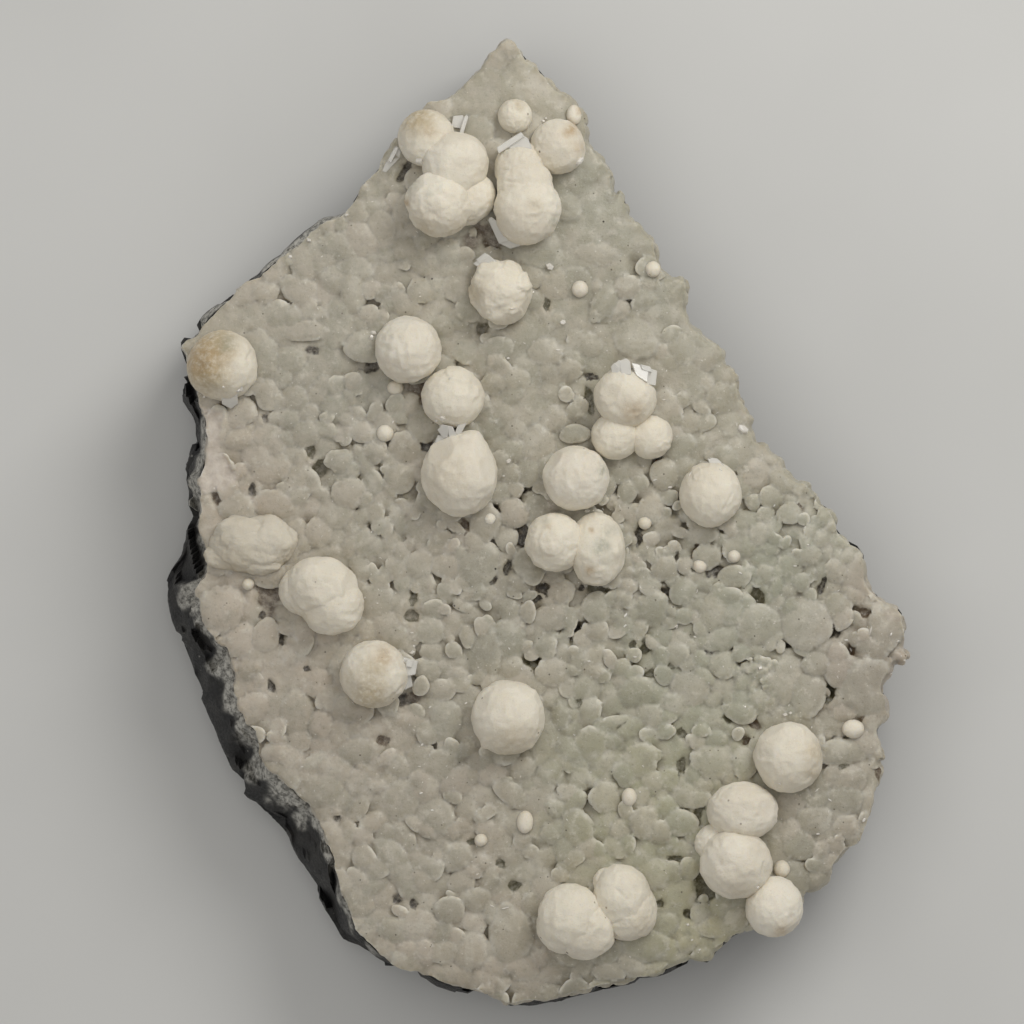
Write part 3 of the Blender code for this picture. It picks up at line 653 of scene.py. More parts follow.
def bumps(pts, W):
    """Highest of plain round bumps W at pts."""
    F = Field(pts)
    f = np.full(len(pts), -9.0)
    x, y = F.p[:, 0], F.p[:, 1]
    for u, v, a, b, top, full in W:
        for i, j in F.spans((u, v), max(a, b)):
            t = np.sqrt(((x[i:j] - u) / a) ** 2 + ((y[i:j] - v) / b) ** 2)
            g = top - full + full * np.sqrt(np.clip(1 - t ** 2.3, 0, 1))
            f[i:j] = np.maximum(f[i:j], np.where(t < 1, g, -9))
    return f[F.back]


def warp(p):
    w = np.column_stack((noise2(p, 16, 5), noise2(p, 16, 6))) * 2.4
    w += np.column_stack((noise2(p, 6, 7), noise2(p, 6, 8))) * 0.7
    return p + w


def smooth_grid(z, sigma):
    n = int(3 * sigma) + 1
    k = np.exp(-np.arange(-n, n + 1) ** 2 / (2.0 * sigma * sigma))
    k /= k.sum()
    z = np.apply_along_axis(lambda r: np.convolve(np.pad(r, n, 'edge'), k, 'valid'), 0, z)
    return np.apply_along_axis(lambda r: np.convolve(np.pad(r, n, 'edge'), k, 'valid'), 1, z)


def sample_grid(g, lo, pitch, p):
    x = np.clip((p[:, 0] - lo[0]) / pitch, 0, g.shape[1] - 1.001)
    y = np.clip((p[:, 1] - lo[1]) / pitch, 0, g.shape[0] - 1.001)
    i, j = x.astype(int), y.astype(int)
    fx, fy = x - i, y - j
    return ((g[j, i] * (1 - fx) + g[j, i + 1] * fx) * (1 - fy)
            + (g[j + 1, i] * (1 - fx) + g[j + 1, i + 1] * fx) * fy)


def hollow_marks(p):
    """Depth of the hollows at p and how much dirt of each kind is there."""
    depth = np.zeros(len(p))
    dirt = np.zeros((len(p), 4))
    q = p + np.column_stack((noise2(p, 7, 31), noise2(p, 7, 32))) * 2.6
    q += np.column_stack((noise2(p, 3, 33), noise2(p, 3, 34))) * 0.9
    for u, v, a, b, turn, deep, kind in HOLLOWS:
        near = np.nonzero((np.abs(q[:, 0] - u) < 2.2 * max(a, b)) & (np.abs(q[:, 1] - v) < 2.2 * max(a, b)))[0]
        c, s = math.cos(math.radians(turn)), math.sin(math.radians(turn))
        dx, dy = q[near, 0] - u, q[near, 1] - v
        x = (dx * c - dy * s) / a
        y = (dx * s + dy * c) / b
        w = np.exp(-(x * x + y * y) ** 2 * 0.8)
        depth[near] = np.maximum(depth[near], deep * w)
        dirt[near, kind] = np.maximum(dirt[near, kind], w)
    return depth, dirt


class Face:
    """The face of the crust as a height over the plan, in plan units."""
    LO = (160.0, 18.0)
    STEP = 1.25

    def __init__(self):
        self.C, S = lay_lobes()
        gx = np.arange(self.LO[0], 936, self.STEP)
        gy = np.arange(self.LO[1], 1028, self.STEP)
        G = np.array(np.meshgrid(gx, gy)).reshape(2, -1).T
        F = Field(warp(G))
        f = np.full(len(G), -8.0)
        x, y = F.p[:, 0], F.p[:, 1]
        soft = 2.4
        for u, v, a, b, turn, top, full in S[:, :7]:
            c, s = math.cos(turn), math.sin(turn)
            for i, j in F.spans((u, v), 1.7 * max(a, b)):
                dx, dy = x[i:j] - u, y[i:j] - v
                t2 = ((dx * c + dy * s) / a) ** 2 + ((dy * c - dx * s) / b) ** 2
                g = top - full * t2 ** 1.15
                h = np.clip(1 - np.abs(g - f[i:j]) / soft, 0, 1)
                f[i:j] = np.maximum(f[i:j], g) + h * h * soft / 4
        f = f[F.back]
        self.dent, self.dirt = hollow_marks(G)
        self.shape = (len(gy), len(gx))
        self.grid = (f - self.dent).reshape(self.shape)
        # the same with the crisp lobes, smoothed, tells hollows from crests
        top = self.top_two(G)[0]
        hole = np.where(inside_poly(G, OUTLINE), np.maximum(top, -9.0), -2.0).reshape(self.shape)
        self.near = smooth_grid(hole, 4.5 / self.STEP)
        self.wide = smooth_grid(hole[::2, ::2], 10 / self.STEP / 2)

    def soft(self, p):
        return sample_grid(self.grid, self.LO, self.STEP, p)

    def top_two(self, pts):
        F = Field(pts)
        n = len(pts)
        f1 = self.soft(F.p)
        f2 = np.full(n, -41.0)
        i1 = np.full(n, -1)
        i2 = np.full(n, -2)
        t1 = np.zeros(n)
        x, y = F.p[:, 0], F.p[:, 1]
        for k, row in enumerate(self.C):
            for a, b in F.spans(row[:2], 1.12 * max(row[2], row[3])):
                f, t = crisp_height(x[a:b], y[a:b], row)
                up = f > f1[a:b]
                mid = (~up) & (f > f2[a:b])
                f2[a:b] = np.where(up, f1[a:b], np.where(mid, f, f2[a:b]))
                i2[a:b] = np.where(up, i1[a:b], np.where(mid, k, i2[a:b]))
                f1[a:b] = np.where(up, f, f1[a:b])
                i1[a:b] = np.where(up, k, i1[a:b])
                t1[a:b] = np.where(up, t, t1[a:b])
        return f1[F.back], f2[F.back], i1[F.back], i2[F.back], t1[F.back]

    def value(self, p, idx):
        out = self.soft(p)
        k = idx >= 0
        if k.any():
            out[k] = crisp_height(p[k, 0], p[k, 1], self.C[idx[k]])[0]
        return np.clip(out, -45, 60)

    def metres(self, P, f):
        """Height in metres over the table at P, where the relief is f."""
        d = np.where(inside_poly(P, OUTLINE), edge_distance(P, OUTLINE), 0.0)
        nat = natural_rim(P)
        base = FACE + FACE_CROWN * np.minimum(1, d * UNIT / 0.025)
        base -= (0.0004 + RIM_DROP * nat) * np.exp(-d * UNIT / (0.0012 + 0.0012 * nat))
        fine = fractal(np.column_stack((P, np.zeros(len(P)))), 9, 61, 3) * 0.34
        swell = noise2(P, 70, 71) * 1.3 + noise2(P, 34, 72) * 0.8
        return base + (np.maximum(f, -14.0) + swell + fine) * UNIT

    def valley(self, pts, i1, i2, rounds):
        """The nearest point of the valley between each point's two top lobes."""
        p = pts.copy()
        e = 0.15
        for _ in range(rounds):
            g = self.value(p, i1) - self.value(p, i2)
            gx = (self.value(p + (e, 0), i1) - self.value(p + (e, 0), i2)
                  - self.value(p - (e, 0), i1) + self.value(p - (e, 0), i2)) / (2 * e)
            gy = (self.value(p + (0, e), i1) - self.value(p + (0, e), i2)
                  - self.value(p - (0, e), i1) + self.value(p - (0, e), i2)) / (2 * e)
            m = gx * gx + gy * gy + 1e-4
            move = np.column_stack((g * gx / m, g * gy / m))
            size = np.hypot(*move.T)
            move *= np.minimum(1, 6.0 / np.maximum(size, 1e-9))[:, None]
            p = p - move
        return p

    def valley_distance(self, pts, f1, f2, i1, i2):
        out = np.full(len(pts), 9.0)
        idx = np.nonzero((i2 > -2) & (f1 - f2 < 5.0))[0]
        v = self.valley(pts[idx], i1[idx], i2[idx], 2)
        out[idx] = np.minimum(9.0, np.hypot(*(v - pts[idx]).T))
        return out

    def snap(self, pts, f1, f2, i1, i2, limit):
        idx = np.nonzero((i2 > -2) & (f1 - f2 < 2.5))[0]
        v = self.valley(pts[idx], i1[idx], i2[idx], 3)
        good = np.hypot(*(v - pts[idx]).T) < limit
        out = pts.copy()
        out[idx[good]] = v[good]
        return out

    def rings(self, rim):
        """Points along the open edges of the crisp lobes: just outside at the
        foot, on the edge itself, and two rows inside it."""
        own, th = [], []
        for k, row in enumerate(self.C):
            m = max(10, int(round(2 * math.pi * math.sqrt(row[2] * row[3]) / 1.95)))
            own.append(np.full(m, k))
            th.append((np.arange(m) + 0.5) / m * 2 * math.pi)
        own, th = np.concatenate(own), np.concatenate(th)
        R = self.C[own]
        reach = edge_reach(R, th)
        ex, ey = R[:, 2] * np.cos(th), R[:, 3] * np.sin(th)
        c, s = np.cos(R[:, 4]), np.sin(R[:, 4])
        vec = np.column_stack((ex * c - ey * s, ex * s + ey * c)) * reach[:, None]
        rad = np.hypot(*vec.T)
        mid = R[:, :2]
        out = vec / rad[:, None]
        level_ = R[:, 5] - R[:, 6] + vec[:, 0] * R[:, 8] + vec[:, 1] * R[:, 9]
        foot = mid + out * (rad + 0.30)[:, None]
        below = self.top_two(foot)[0]
        drop = level_ - np.maximum(below, -9.0)
        fit = inside_poly(foot, rim)
        fit[fit] = edge_distance(foot[fit], rim) > 1.5
        open_ = (drop > 0.40) & fit
        start = np.searchsorted(own, np.arange(len(self.C)))
        end = np.append(start[1:], len(own))
        nxt = np.arange(len(own)) + 1
        nxt[end - 1] = start
        # single open points are not an edge
        prv = np.empty(len(own), int)
        prv[nxt] = np.arange(len(own))
        open_ &= open_[nxt] | open_[prv]
        sets = []
        for off, every in ((0.30, 1), (-0.25, 1), (-1.15, 1), (-2.9, 2)):
            q = mid + out * (rad + off)[:, None]
            ok = open_.copy()
            if every == 2:
                ok &= (np.arange(len(own)) - start[own]) % 2 == 0
            if off < 0:
                i1 = np.full(len(own), -5)
                i1[ok] = self.top_two(q[ok])[2]
                ok &= i1 == own
            sets.append((q, ok))
        return own, sets, nxt, drop, out


def tint_at(p):
    w_all = np.full(len(p), 0.55)
    col = np.outer(w_all, PREHNITE)
    q = p + np.column_stack((noise2(p, 40, 51), noise2(p, 40, 52))) * 14
    for u, v, reach, c in TINTS:
        w = 1.6 * np.exp(-((q[:, 0] - u) ** 2 + (q[:, 1] - v) ** 2) / (reach * reach))
        col += np.outer(w, c)
        w_all = w_all + w
    return col / w_all[:, None]


def natural_rim(p):
    """1 where the rim is grown and rounded, 0 where it is a broken edge."""
    u, v = p[:, 0], p[:, 1]
    left = step(u - 0.0 * v, 520, 400) * 1.0
    upper = np.where(v < 420, step(u, 560, 470), left)
    w = 1 - np.where(v < 420, np.maximum(upper, left), left)
    dry = np.exp(-(((u - 868) / 22) ** 2 + ((v - 815) / 42) ** 2))
    return np.clip(w * (1 - 0.8 * dry), 0, 1)


PITCH = 2.2


def build_crust():
    face = Face()
    C = face.C
    ring, s = resample(OUTLINE, 2.4)
    ring = round_corners(ring, 2)
    n = len(ring)
    tang = np.roll(ring, -1, 0) - np.roll(ring, 1, 0)
    tang /= np.hypot(*tang.T)[:, None]
    outward = np.column_stack((tang[:, 1], -tang[:, 0]))
    grown = natural_rim(ring)
    s3 = np.column_stack((s, np.zeros(n), np.zeros(n)))
    jag = (noise3(s3, 9, 3) * 0.9 + noise3(s3, 4, 4) * 0.5) * (1.15 - 0.5 * grown)
    ring = ring + outward * jag[:, None]
    inset = 0.9 + 2.6 * grown
    rim = ring - outward * inset[:, None]

    # open edges of the lobes
    own, sets, nxt, drop, out = face.rings(rim)
    kind, shift, special, edges = [], [], [], [(i, (i + 1) % n) for i in range(n)]
    total = n
    for which, (q, ok) in enumerate(sets):
        idx = np.nonzero(ok)[0]
        number = np.full(len(ok), -1)
        number[idx] = total + np.arange(len(idx))
        special.append(q[idx])
        kind.append(np.full(len(idx), which))
        under = np.clip(0.55 * drop[idx], 0, 2.6) if which == 0 else np.zeros(len(idx))
        shift.append(-out[idx] * under[:, None])
        if which < 2:
            both = idx[(number[nxt[idx]] >= 0)]
            edges += list(zip(number[both].tolist(), number[nxt[both]].tolist()))
        total += len(idx)
    special = np.vstack(special)
    kind = np.concatenate(kind)
    shift = np.vstack(shift)

    # points of the face
    us = np.arange(170, 925, PITCH)
    vs = np.arange(28, 1015, PITCH * 0.866)
    pts, sparse = [], []
    for j, v in enumerate(vs):
        row = us + (PITCH / 2 if j % 2 else 0)
        pts.append(np.column_stack((row, np.full(len(row), v))))
        few = np.zeros(len(row), bool)
        if j % 2 == 0:
            few[(j // 2) % 2::2] = True
        sparse.append(few)
    pts, sparse = np.vstack(pts), np.concatenate(sparse)
    ok = inside_poly(pts, rim)
    pts, sparse = pts[ok], sparse[ok]
    off = edge_distance(pts, rim)
    ok = off > PITCH * 0.6
    pts, sparse, off = pts[ok], sparse[ok], off[ok]
    f1, f2, i1, i2, t1 = face.top_two(pts)
    near_v = face.valley_distance(pts, f1, f2, i1, i2)
    bend = hollow_marks(pts)[0]
    keep = sparse | (near_v < 2.9) | (off < 5) | ((bend > 0.4) & (bend < 8))
    pts, f1, f2, i1, i2 = pts[keep], f1[keep], f2[keep], i1[keep], i2[keep]
    pts = face.snap(pts, f1, f2, i1, i2, PITCH * 0.47)
    # leave room beside the rows of edge points
    cell = 0.5
    busy = np.zeros((int(1030 / cell), int(940 / cell)), bool)
    a = (special / cell).astype(int)
    for dy in range(-2, 3):
        for dx in range(-2, 3):
            if dx * dx + dy * dy <= 5:
                busy[a[:, 1] + dy, a[:, 0] + dx] = True
    b = (pts / cell).astype(int)
    pts = pts[~busy[b[:, 1], b[:, 0]]]

    allp = np.vstack((rim, special, pts))
    verts, _, tris, orig, _, _ = delaunay_2d_cdt([Vector(p) for p in allp.tolist()], edges, [], 1, 1e-5)
    P = np.array([(v.x, v.y) for v in verts])
    T = np.array(tris, int)
    first = np.full(len(P), -1)
    rim_at = np.full(n, -1)
    for k, ids in enumerate(orig):
        for i in ids:
            if i < n:
                rim_at[i] = k
            elif i < total and first[k] < 0:
                first[k] = i - n
    edge_kind = np.where(first >= 0, kind[first], -1)
    move = np.where((first >= 0)[:, None], shift[first], 0.0)

    f1, f2, i1, i2, t1 = face.top_two(P)
    dirt = hollow_marks(P)[1]
    nat = natural_rim(P)
    warped = P + np.column_stack((noise2(P, 6, 36), noise2(P, 6, 37))) * 1.4
    bare = np.where(inside_poly(warped, BARE), step(edge_distance(warped, BARE), 0.0, 1.6), 0.0)
    chipped = 1.2 + fractal(np.column_stack((P, np.zeros(len(P)))), 7, 65, 3) * 0.7 - 0.03 * (P[:, 0] - 205)
    f1 = f1 * (1 - bare) + chipped * bare
    f = np.maximum(f1, -14.0)
    z = face.metres(P, f1)
    print("face", len(P), "points,", len(T), "triangles,", len(C), "crisp lobes,",
          int((edge_kind == 1).sum()), "edge points", "rim ok", bool((rim_at >= 0).all()))

    near = sample_grid(face.near, face.LO, face.STEP, P)
    wide = sample_grid(face.wide, face.LO, face.STEP * 2, P)
    # painted light: a bright line on the open lobe edges and fainter rows just inside, strongest on crests
    painted_rim_light = np.select([edge_kind == 1, edge_kind == 2, edge_kind == 3], [1.0, 0.75, 0.15], 0.0)
    painted_rim_light *= step(near - wide + (f - near), -3.0, 1.5)
    # painted shade: darker in hollows below their surroundings, in the creases between lobes and at the foot of each
    # open lobe edge
    deep = np.clip((wide - f - 1.0) / 6.0, 0, 1)
    crease_shade = np.clip((near - f - 0.2) / 3.0, 0, 1)
    crease_shade = np.where(edge_kind == 0, np.maximum(crease_shade, 0.6), crease_shade)
    low = step(near - f, -0.6, 1.4)
    dirt *= low[:, None]

    Q = P + move
    XY = np.column_stack(((Q[:, 0] - MID_U) * UNIT, (MID_V - Q[:, 1]) * UNIT))
    face_v = np.column_stack((XY, z))
    rnd = np.random.default_rng(9).random(len(C) + 2)
    soft_rnd = 0.5 + 0.5 * noise2(P, 13, 19)
    lobe_rand = np.where(i1 >= 0, rnd[i1], soft_rnd)
    tint = tint_at(P)
    marks = np.column_stack((deep, crease_shade, dirt[:, 1]))
    # painted light: the outer margin of each crisp lobe on a crest is paler, for light shining through it
    painted_glow = np.where(i1 >= 0, step(t1, 0.66, 0.97), 0.0) * step(f - near, -2.5, 0.8)
    soil_and_glow = np.column_stack((dirt[:, 2], dirt[:, 3], painted_glow))
    lobe = np.column_stack((lobe_rand, painted_rim_light, 1 - nat))

    # the side wall: rows of points from the rim down to the rock
    low = BASALT_TOP - 0.0004
    rows = 15
    side = []
    rim_z = z[rim_at]
    wall_lobes = np.random.default_rng(33)
    length = s[-1] + PITCH
    W = []
    for _ in range(700):
        r = wall_lobes.uniform(6, 13)
        W.append((wall_lobes.uniform(0, length), wall_lobes.uniform(-6, 58), r,
                  r * wall_lobes.uniform(.8, 1.2), wall_lobes.uniform(-1, 2.5), r * .55))
    W = np.array(W)
    W = np.vstack((W, W + np.array([length] + [0] * 5), W - np.array([length] + [0] * 5)))
    for k in range(1, rows + 1):
        q = k / rows
        zz = rim_z + (low - rim_z) * q ** 1.15
        down = (rim_z - zz) / UNIT
        h = bumps(np.column_stack((s + 0.0, down)), W)
        bulge = inset * np.clip(np.sin(np.clip(down / 14.0, 0, 1) * math.pi / 2), 0, 1)
        lobed = np.clip(h, -4, 5) * 1.15
        rock3 = np.column_stack((s * 0.8, down * 0.35, np.zeros(n)))
        broken = noise3(rock3, 12, 81) * 2.4 + noise3(rock3, 4.5, 82) * 1.1 + noise3(rock3, 2.2, 83) * .4
        fade = np.clip(down / 5.0, 0, 1)
        off = bulge + fade * (grown * (lobed - 1.0) + (1 - grown) * (broken - 0.8))
        off = np.minimum(off, inset + 3.5)
        q2 = rim + outward * off[:, None]
        if k == rows:
            q2 = HUB + (round_corners(rim, 14) - HUB) * 0.965
        side.append(np.column_stack(((q2[:, 0] - MID_U) * UNIT, (MID_V - q2[:, 1]) * UNIT, zz)))
    V = np.vstack([face_v] + side)
    quads = []
    base_i = np.arange(n)
    prev = rim_at
    start = len(P)
    for k in range(rows):
        cur = start + k * n + base_i
        a, b = prev, np.roll(prev, -1)
        c, e = np.roll(cur, -1), cur
        quads.append(np.column_stack((a, b, c)))
        quads.append(np.column_stack((a, c, e)))
        prev = cur
    # underside
    foot = V[prev]
    und, _, ut, _, _, _ = delaunay_2d_cdt([Vector(p) for p in foot[:, :2].tolist()], [(i, (i + 1) % n) for i in range(n)], [], 1, 1e-9)
    U = np.array(ut, int)
    hub_at = len(V)
    if len(und) == n:
        U = prev[U]
    else:
        V = np.vstack((V, [(*place(*HUB), low)]))
        U = np.column_stack((prev, np.roll(prev, -1), np.full(n, hub_at)))

    def turned(tri, xy, sign):
        a, b, c = xy[tri[:, 0]], xy[tri[:, 1]], xy[tri[:, 2]]
        nz = (b[:, 0] - a[:, 0]) * (c[:, 1] - a[:, 1]) - (b[:, 1] - a[:, 1]) * (c[:, 0] - a[:, 0])
        flip = nz * sign < 0
        tri = tri.copy()
        tri[flip] = tri[flip][:, ::-1]
        return tri
    T = turned(T, np.column_stack((P[:, 0], -P[:, 1])), 1)
    U = turned(U, V, -1)
    wall = np.vstack(quads)
    faces = np.vstack((T, wall, U)).astype(np.int32)
    obj = mesh_object("prehnite_crust_lobed", V, faces)
    bm = bmesh.new()
    bm.from_mesh(obj.data)
    bmesh.ops.recalc_face_normals(bm, faces=bm.faces[:])
    bm.to_mesh(obj.data)
    bm.free()
    m = rows * n + len(V) - hub_at
    ring_tint = np.vstack((np.tile(tint[rim_at], (rows, 1)), tint[:len(V) - hub_at]))
    zero = np.zeros((m, 3))
    depth_row = np.concatenate((np.repeat(np.arange(1, rows + 1) / rows, n), np.ones(len(V) - hub_at)))
    broken_row = np.concatenate((np.tile(1 - grown, rows), np.ones(len(V) - hub_at)))
    paint(obj, "tint", np.vstack((tint, ring_tint)))
    # painted shade on the side wall, darker towards the rock below, with a little crease shade; a faint painted rim
    # light goes on the wall too
    wall_shade = np.column_stack((depth_row * 0.25, np.full(m, 0.12), np.zeros(m)))
    paint(obj, "marks", np.vstack((marks, wall_shade)))
    paint(obj, "soil_and_glow", np.vstack((soil_and_glow, zero)))
    paint(obj, "lobe", np.vstack((lobe, np.column_stack((np.full(m, .5), np.full(m, .15), broken_row)))))
    paint(obj, "bare", np.vstack((np.column_stack((bare, bare, bare)), np.zeros((m, 3)))))
    obj.data.set_sharp_from_angle(angle=math.radians(80))
    print("crust", len(obj.data.polygons), "triangles, underside", len(U))
    return obj, face


def prehnite_material():
    m = Mat("prehnite")
    tint = m.attr("tint").outputs["Color"]
    # painted shade in hollows and creases, and olive dirt
    deep, crease_shade, olive = m.split(m.attr("marks").outputs["Color"])
    # brown and rust dirt, and the painted glow of the lobe margins
    brown, rust, painted_glow = m.split(m.attr("soil_and_glow").outputs["Color"])
    # the second channel is the painted rim light of the lobe edges
    rnd, rim, broken = m.split(m.attr("lobe").outputs["Color"])
    big = m.noise(90, 3, 0.5)
    cloud = m.noise(260, 3, 0.55, 0.4)
    mid = m.noise(700, 4, 0.6)
    fine = m.noise(2600, 4, 0.65)
    sugar = m.noise(6500, 2, 0.6)
    col = tint
    # each lobe is a little paler, greener or pinker than the next
    col = m.mix(m.ramp(rnd, 0.45, 1.0, 0.0, 0.50, False), col, (0.545, 0.490, 0.420))
    col = m.mix(m.ramp(rnd, 0.55, 0.0, 0.0, 0.45, False), col, (0.350, 0.345, 0.280))
    col = m.mix(m.ramp(big, 0.35, 0.7, 0.0, 0.30), col, (0.345, 0.345, 0.280))
    col = m.mix(m.ramp(cloud, 0.50, 0.72, 0.0, 0.55), col, (0.590, 0.560, 0.480))
    col = m.mix(m.ramp(cloud, 0.46, 0.28, 0.0, 0.50), col, (0.285, 0.268, 0.212))
    col = m.mix(m.ramp(mid, 0.54, 0.74, 0.0, 0.55), col, (0.640, 0.610, 0.530))
    col = m.mix(m.ramp(mid, 0.46, 0.28, 0.0, 0.30), col, (0.270, 0.250, 0.195))
    col = m.mix(m.ramp(fine, 0.46, 0.28, 0.0, 0.50), col, (0.260, 0.236, 0.180))
    col = m.mix(m.ramp(sugar, 0.58, 0.76, 0.0, 0.35), col, (0.700, 0.665, 0.590))
    # painted light: paler margins and thin bright edges of the lobes, painted in for light shining through them
    painted_margin_glow = m.math('MULTIPLY', painted_glow, m.ramp(mid, 0.30, 0.65, 0.25, 0.65))
    col = m.mix(painted_margin_glow, col, (0.640, 0.620, 0.555))
    edge = m.math('MULTIPLY', rim, m.ramp(mid, 0.30, 0.62, 0.20, 0.65))
    col = m.mix(edge, col, (0.780, 0.750, 0.670))
    # painted shade and dust in the creases and hollows of the face
    col = m.mix(m.math('MULTIPLY', crease_shade, 0.22), col, (0.250, 0.215, 0.150))
    col = m.mix(m.math('MULTIPLY', deep, 0.55), col, (0.155, 0.120, 0.070))
    grit = m.ramp(m.noise(1500, 4, 0.7), 0.30, 0.60, 0.35, 1.0)
    col = m.mix(m.math('MULTIPLY', m.ramp(olive, 0.10, 0.55), m.math('MULTIPLY', grit, 0.95)), col, (0.075, 0.066, 0.026))
    col = m.mix(m.math('MULTIPLY', m.ramp(brown, 0.10, 0.55), m.math('MULTIPLY', grit, 1.0)), col, (0.030, 0.021, 0.011))
    col = m.mix(m.math('MULTIPLY', m.ramp(rust, 0.10, 0.55), m.math('MULTIPLY', grit, 0.95)), col, (0.085, 0.050, 0.022))
    # dark specks in the crystal, and pale specks painted as tiny glints
    col = m.mix(m.math('MULTIPLY', m.specks(800, 0.13, 0.22, (3, 1, 2)), 0.75), col, (0.075, 0.058, 0.035))
    col = m.mix(m.math('MULTIPLY', m.specks(330, 0.062, 0.14, (7, 5, 1)), 0.95), col, (0.022, 0.016, 0.011))
    col = m.mix(m.math('MULTIPLY', m.specks(1500, 0.20, 0.10, (1, 8, 3)), 0.40), col, (0.80, 0.78, 0.73))
    # dry, chalky look where the edge is broken
    dry = m.math('MULTIPLY', broken, m.ramp(m.noise(900, 4, 0.7), 0.35, 0.7, 0.0, 0.35))
    col = m.mix(dry, col, (0.55, 0.50, 0.43))
    bare = m.split(m.attr("bare").outputs["Color"])[0]
    col = m.mix(m.math('MULTIPLY', bare, 0.85), col, m.mix(m.ramp(mid, 0.35, 0.65), (0.560, 0.495, 0.425), (0.700, 0.640, 0.565)))
    grape = m.cells(1150, 'SMOOTH_F1')
    bump = m.bump(sugar, 0.30, 0.00005)
    bump = m.bump(fine, 0.45, 0.00013, bump)
    bump = m.bump(grape, -0.28, 0.00030, bump)
    bump = m.bump(mid, 0.35, 0.00035, bump)
    m.set(Base_Color=col, Roughness=m.ramp(fine, 0.3, 0.7, 0.34, 0.60), IOR=1.62, Normal=bump)
    m.set(Subsurface_Weight=0.80, Subsurface_Radius=(1.0, 0.90, 0.70), Subsurface_Scale=0.0012)
    m.put(m.bsdf.inputs["Specular IOR Level"], 0.45)
    return m.mat


# ----------------------------------------------------------- balls of gyrolite
ROUND = (1.0, 1.0, 1.0)
BALLS = {
    "gyrolite_cluster_upper_left": [
        (427, 138, 28.5, 0.35, ROUND), (455, 166, 33, 0.55, ROUND),
        (467, 198, 28, 0.34, ROUND), (439, 204, 33, 0.80, ROUND)],
    "gyrolite_cluster_upper_right": [
        (521, 168, 26, 0.42, ROUND), (527, 210, 34.5, 0.60, (0.96, 1.03, 1.0)),
        (525, 187, 28.5, 0.62, ROUND),
        (558, 147, 27.5, 0.35, ROUND)],
    "gyrolite_ball_top_small": [(515, 116, 17, 0.30, ROUND)],
    "gyrolite_ball_flaky": [(500, 292, 31.5, 0.45, ROUND)],
    "gyrolite_ball_upper_middle": [(408, 350, 33, 0.45, ROUND)],
    "gyrolite_ball_middle": [(453, 398, 31, 0.45, ROUND)],
    "gyrolite_ball_large_middle": [(460, 475, 38.5, 0.40, (0.98, 1.06, 0.95))],
    "gyrolite_ball_left_edge": [(222, 366, 35, 0.25, ROUND)],
    "gyrolite_cluster_of_three": [
        (625, 398, 31, 0.50, ROUND), (615, 436, 23.5, 0.40, ROUND),
        (650, 437, 22, 0.30, ROUND)],
    "gyrolite_ball_centre": [(576, 478, 32, 0.45, ROUND)],
    "gyrolite_pair_centre": [
        (554, 542, 29.5, 0.55, ROUND), (597, 549, 29, 0.35, (0.95, 1.24, 1.0))],
    "gyrolite_ball_right": [(711, 494, 31.5, 0.45, (0.98, 1.03, 1.0))],
    "gyrolite_ball_lumpy": [
        (321, 588, 34, 0.46, (1.1, 0.92, 0.95)), (333, 604, 32, 0.50, (1.0, 0.98, 0.9)), (302, 590, 24, 0.35, ROUND)],
    "gyrolite_ball_stained": [(374, 674, 33.5, 0.45, ROUND)],
    "gyrolite_ball_lower_middle": [(508, 717, 37, 0.42, ROUND)],
    "gyrolite_ball_lower_right": [(788, 757, 33.5, 0.45, (1.0, 1.06, 1.0))],
    "gyrolite_cluster_lower_right": [
        (743, 811, 34, 0.35, (1.05, 0.88, 1.0)), (736, 864, 35.5, 0.55, ROUND),
        (714, 843, 19, 0.30, ROUND), (774, 907, 28.5, 0.70, (1.0, 1.06, 1.0))],
    "gyrolite_pair_bottom": [
        (571, 917, 34, 0.52, (0.98, 1.0, 0.98)), (584, 928, 31, 0.50, (1.0, 1.0, 0.98)),
        (564, 926, 28, 0.45, ROUND), (622, 897, 31, 0.42, (0.95, 1.05, 0.98)),
        (629, 911, 29, 0.36, (0.98, 1.05, 0.98)), (607, 881, 14, 0.55, ROUND)],
    "gyrolite_mound_left": [
        (252, 545, 29, 0.05, (1.46, 1.0, 0.86)), (243, 536, 24, 0.20, (1.3, 0.95, 0.86)),
        (272, 543, 24, 0.16, (1.1, 1.05, 0.86)), (224, 556, 15, 0.10, (1.2, 0.9, 0.9)),
        (262, 559, 18, 0.14, (1.3, 0.9, 0.9))],
}
BEADS = [
    (574, 115, 8.0, (0.95, 1.25, 0.9)), (580, 289, 8.5, ROUND),
    (385, 433, 8.5, ROUND), (395, 388, 7.0, (1.2, 1.0, 0.9)),
    (525, 822, 8.5, (1.0, 1.35, 0.9)), (853, 729, 9.5, (1.2, 1.0, 0.9)),
    (629, 797, 8.0, (0.95, 1.15, 0.9)), (782, 869, 8.0, (1.0, 1.1, 0.9)),
    (734, 556, 6.5, ROUND), (700, 566, 7.0, ROUND), (645, 523, 6.5, ROUND),
    (653, 269, 8.0, ROUND), (490, 519, 6.5, ROUND), (481, 840, 6.5, ROUND),
    (248, 584, 6.0, ROUND),
]
